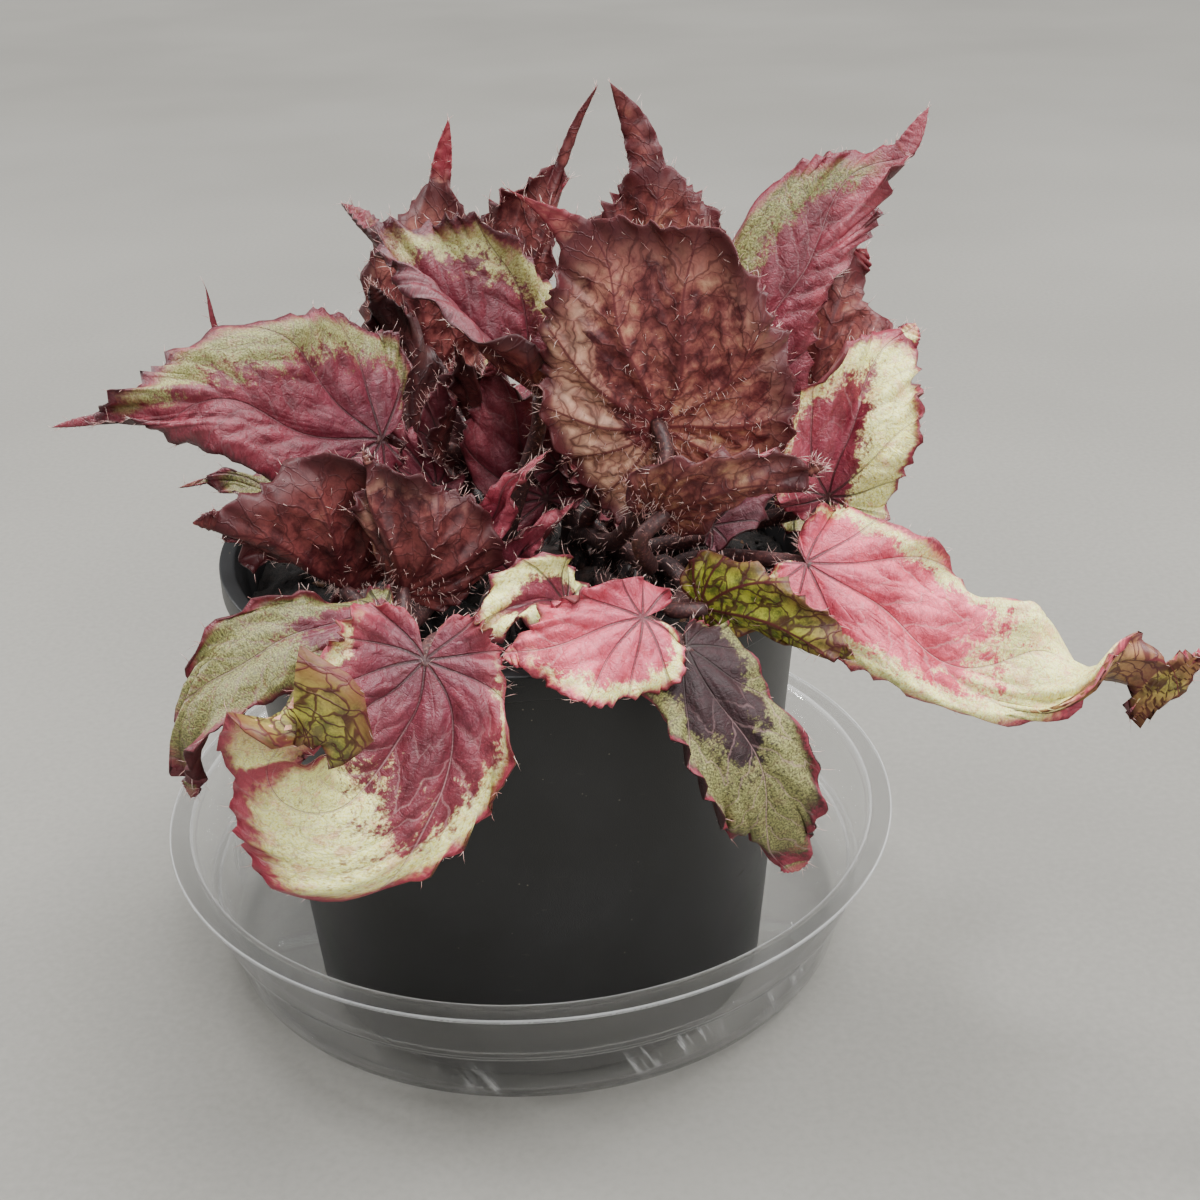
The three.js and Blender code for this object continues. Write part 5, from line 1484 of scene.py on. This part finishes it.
def potFinish():
    made, start = newFinish("black pot plastic")
    spot = placeInMm(start)
    cloud = spot.noise(0.05, 3.0, 0.6)
    grain = spot.noise(3.0, 2.0)
    plastic = cloud.ease(0.3, 0.75).between(*potShape["plastic"])
    dust = (1 - spot.cells(0.32, "F1").ease(0.05, 0.09)) * spot.noise(0.11).ease(0.5, 0.6)
    plastic = (dust * 0.55).between(plastic, potShape["dust"])
    x, y, z = spot.parts()
    worn = joined(x * 0.16, y * 0.16, z * 0.9)
    scuff = worn.noise(1.0, 3.0).ease(0.66, 0.74) * spot.noise(0.03).ease(0.5, 0.62)
    plastic = (scuff * 0.3).between(plastic, potShape["scuff"])
    gloss = 0.36 + cloud * 0.16 + scuff * 0.2
    closeFinish(start, {"Base Color": plastic, "Roughness": gloss}, grain, 0.04)
    return made


def formPot():
    shape = potShape
    bandLow = shape["rimTop"] - shape["rimBand"]
    bandInside = shape["rimRadius"] - shape["wall"]
    rimUnder = shape["rimTop"] - shape["wall"] - 1
    floor = shape["bottom"] + shape["footHeight"]
    footInside = shape["baseRadius"] - shape["footWidth"]
    profile = [
        [0, floor], [footInside - shape["wall"], floor], [footInside, shape["bottom"]],
        [shape["baseRadius"], shape["bottom"]], [shape["neckRadius"], shape["neckHeight"]],
        [shape["neckRadius"], rimUnder], [bandInside, rimUnder], [bandInside, bandLow],
        [shape["rimRadius"], bandLow], [shape["rimRadius"], shape["rimTop"]],
        [shape["rimInner"], shape["rimTop"]], [shape["neckRadius"] - shape["wall"], shape["neckHeight"]],
        [shape["baseRadius"] - shape["wall"], floor + shape["wall"]], [0, floor + shape["wall"]],
    ]
    shell = Shell()
    points, quads = turned(rounded(profile, shape["round"]), shape["sides"])
    shell.add(points, [quads])
    mesh = welded(shell.mesh("pot", [potFinish()]))
    pot = piece("formed_pot", mesh, "pot", "pot")
    for number in range(shape["drains"]):
        turn = number / shape["drains"] * 2 * math.pi
        place = Vector((math.cos(turn), math.sin(turn), 0)) * shape["drainCircle"] * mm
        place.z = (floor + shape["wall"] / 2) * mm
        bpy.ops.mesh.primitive_cylinder_add(vertices=32, radius=shape["drainRadius"] * mm,
                                            depth=shape["wall"] * 4 * mm, location=place)
        drill = bpy.context.object
        cut = pot.modifiers.new("drain", "BOOLEAN")
        cut.operation = "DIFFERENCE"
        cut.object = drill
        shaped = bpy.data.meshes.new_from_object(pot.evaluated_get(bpy.context.evaluated_depsgraph_get()))
        pot.modifiers.clear()
        pot.data = shaped
        bpy.data.objects.remove(drill)
    pot.data.name = "pot"


def saucerFinish():
    # clear plastic with faint painted highlight lines at the lip, mouth and ledge, and painted glint
    # streaks round the lower wall
    shape = saucerShape
    made, start = newFinish("clear saucer plastic")
    spot = placeInMm(start)
    haze = spot.noise(0.09, 3.0, 0.6)
    tint = haze.ease(0.3, 0.8).between(*shape["clear"])
    edgeOn = start.node("ShaderNodeLayerWeight", {}, {"Blend": 0.5}, "Facing")
    inputs = {"Base Color": tint, "Roughness": 0.01 + haze * 0.03, "Transmission Weight": 1.0, "IOR": 1.45,
              "Alpha": shape["faceOn"] + edgeOn ** 2 * shape["edgeOn"]}
    sockets = {"Height": spot.noise(0.045, 2.0), "Distance": 0.5 * mm, "Strength": 1.0}
    inputs["Normal"] = start.node("ShaderNodeBump", {}, sockets)
    clear = start.node("ShaderNodeBsdfPrincipled", {}, inputs)
    x, y, z = spot.parts()
    x = x - shape["centre"][0]
    y = y - shape["centre"][1]
    turn = start.sum("ARCTAN2", y, x)
    far = (x * x + y * y) ** 0.5
    # painted highlight lines along the lip's edge, the mouth and the ledge
    lip = 1 - abs(far - shape["lipRadius"] + 0.2).ease(0.15, 0.4)
    top = z.ease(shape["height"] - 1.5, shape["height"] - 0.5)
    mouth = (1 - abs(far - shape["mouthRadius"]).ease(0.3, 0.8)) * top
    ledge = 1 - abs(z - shape["ledgeHeight"]).ease(0.2, 0.6)
    # The masks below mark painted glint streaks: white smears on the lower wall that stand for lamp
    # reflections.
    worn = joined(turn * 5, z * 0.02, 3.0).noise(1.0, 2.0).ease(0.5, 0.62)
    glintStroke = joined(turn * 60 + z * 0.3, z * 0.05, 8.0).noise(1.0, 2.0).ease(0.48, 0.72)
    scuff = worn * glintStroke * z.ease(2.0, 5.0) * (1 - z.ease(15.0, shape["ledgeHeight"] - 1))
    highlightWhite = haze.between(*shape["highlightWhite"])
    pale = start.node("ShaderNodeBsdfPrincipled", {}, {"Base Color": highlightWhite, "Roughness": 0.3})
    share = (lip * 0.3).most(mouth * 0.25).most(ledge * 0.25).most(scuff * 0.3)
    shader = start.node("ShaderNodeMixShader", {}, {0: share, 1: clear, 2: pale})
    start.node("ShaderNodeOutputMaterial", {}, {0: shader}, None)
    return made


def formSaucer():
    shape = saucerShape
    wall = shape["wall"]
    ledge = shape["ledgeHeight"]
    ledgeOuter = shape["ledgeRadius"] + shape["ledgeWidth"]
    lipUnder = shape["height"] - wall
    ribEnd = shape["ribInner"] + shape["ribLength"]
    outside = [
        [0, 0], [shape["floorRadius"], 0], [shape["lowRadius"], shape["round"]],
        [shape["ledgeRadius"], ledge - wall], [ledgeOuter, ledge],
        [shape["mouthRadius"], lipUnder - wall], [shape["mouthRadius"] + 1, lipUnder],
        [shape["lipRadius"], lipUnder], [shape["lipRadius"], shape["height"]],
        [shape["mouthRadius"], shape["height"]], [shape["mouthRadius"] - wall, lipUnder - wall],
        [ledgeOuter - wall, ledge + 1], [shape["ledgeRadius"] - wall, ledge],
        [shape["lowRadius"] - wall, shape["round"] + 1], [shape["floorRadius"], wall], [ribEnd, wall],
    ]
    floor = [[radius, wall] for radius in np.linspace(ribEnd - 0.01, shape["ribInner"], 30)]
    profile = rounded([*outside, *floor, [shape["ribInner"] - 2, wall], [0, wall]], 0.5)

    def ribLift(radius, height, turn):
        pitch = 2 * math.pi / shape["ribs"]
        apart = np.abs((turn / pitch) % 1 - 0.5) * pitch * radius
        across = 1 - eased(apart, shape["ribWidth"] / 2 - 0.4, shape["ribWidth"] / 2 + 0.4)
        along = eased(radius, shape["ribInner"], shape["ribInner"] + 2)
        along = along * (1 - eased(radius, ribEnd - 2, ribEnd))
        return shape["ribHeight"] * across * along * (np.abs(height - wall) < 0.01)

    shell = Shell()
    points, quads = turned(profile, shape["sides"], ribLift)
    shell.add(points + [*shape["centre"], 0], [quads])
    piece("formed_saucer", welded(shell.mesh("saucer", [saucerFinish()])), "saucer", "saucer")


# Floor, light and camera

stageLook = {
    "floorSize": 12.0,
    "suns": {               # from where, strength and spread in degrees
        "soft": ((0.3, 0.0, 1.0), 5.6, 40),
        "small": ((-0.35, 0.35, 1.0), 1.6, 8),
    },
    "lamps": {              # place, power in watts, width and height in metres
        "front": ((0.5, -1.1, 1.0), 15, 0.7, 0.7),
        "left strip": ((-1.0, 0.35, 0.7), 10, 0.08, 0.8),
        "right strip": ((1.0, 0.5, 0.7), 10, 0.08, 0.8),
    },
    "sky": 0.32,
    "floorSink": 0.0004,
    "skyColour": paint(226, 228, 230),
    "aim": (0.0, 0.0, 0.12),
    "floor": (paint(116, 114, 108), paint(128, 126, 120)),
}

cameraLook = {
    "place": (0.0214, -0.4359, 0.3330),
    "down": 26.56,
    "roll": -1.77,
    "lens": 51.9,
}


def floorFinish():
    made, start = newFinish("pale floor")
    spot = start.node("ShaderNodeTexCoord", {}, {}, "Object")
    cloud = spot.noise(3.0, 3.0)
    fibre = spot.noise(420.0, 2.0)
    colour = (cloud * 0.6 + fibre * 0.4).ease(0.3, 0.7).between(*stageLook["floor"])
    closeFinish(start, {"Base Color": colour, "Roughness": 0.75 + fibre * 0.1})
    return made


def setStage():
    bpy.ops.mesh.primitive_plane_add(size=stageLook["floorSize"], location=(0, 0, -stageLook["floorSink"]))
    floor = bpy.context.object
    floor.name = "floor"
    floor.data.materials.append(floorFinish())
    for name, (fromWhere, strength, spread) in stageLook["suns"].items():
        light = bpy.data.lights.new(name, "SUN")
        light.energy = strength
        light.angle = math.radians(spread)
        lamp = bpy.data.objects.new(name, light)
        lamp.rotation_euler = (-Vector(fromWhere)).to_track_quat("-Z", "Y").to_euler()
        bpy.context.collection.objects.link(lamp)
    for name, (place, power, width, height) in stageLook["lamps"].items():
        light = bpy.data.lights.new(name, "AREA")
        light.energy = power
        light.shape = "RECTANGLE"
        light.size = width
        light.size_y = height
        lamp = bpy.data.objects.new(name, light)
        lamp.location = place
        toward = Vector(stageLook["aim"]) - lamp.location
        lamp.rotation_euler = toward.to_track_quat("-Z", "Y").to_euler()
        bpy.context.collection.objects.link(lamp)
    world = bpy.data.worlds.new("soft studio")
    world.use_nodes = True
    sky = world.node_tree.nodes["Background"]
    sky.inputs["Color"].default_value = stageLook["skyColour"]
    sky.inputs["Strength"].default_value = stageLook["sky"]
    bpy.context.scene.world = world
    lens = bpy.data.cameras.new("camera")
    lens.lens = cameraLook["lens"]
    lens.sensor_width = 36
    camera = bpy.data.objects.new("camera", lens)
    tilt = Matrix.Rotation(math.radians(90 - cameraLook["down"]), 4, "X")
    roll = Matrix.Rotation(math.radians(cameraLook["roll"]), 4, "Z")
    camera.matrix_world = Matrix.Translation(cameraLook["place"]) @ tilt @ roll
    bpy.context.collection.objects.link(camera)
    bpy.context.scene.camera = camera


planned = plannedLeaves()
growLeaves(planned)
print("leaves grown")
growRhizome(planned)
print("rhizome grown")
formPot()
fillSoil()
print("pot filled")
formSaucer()
print("saucer formed")
setStage()
print("stage set")
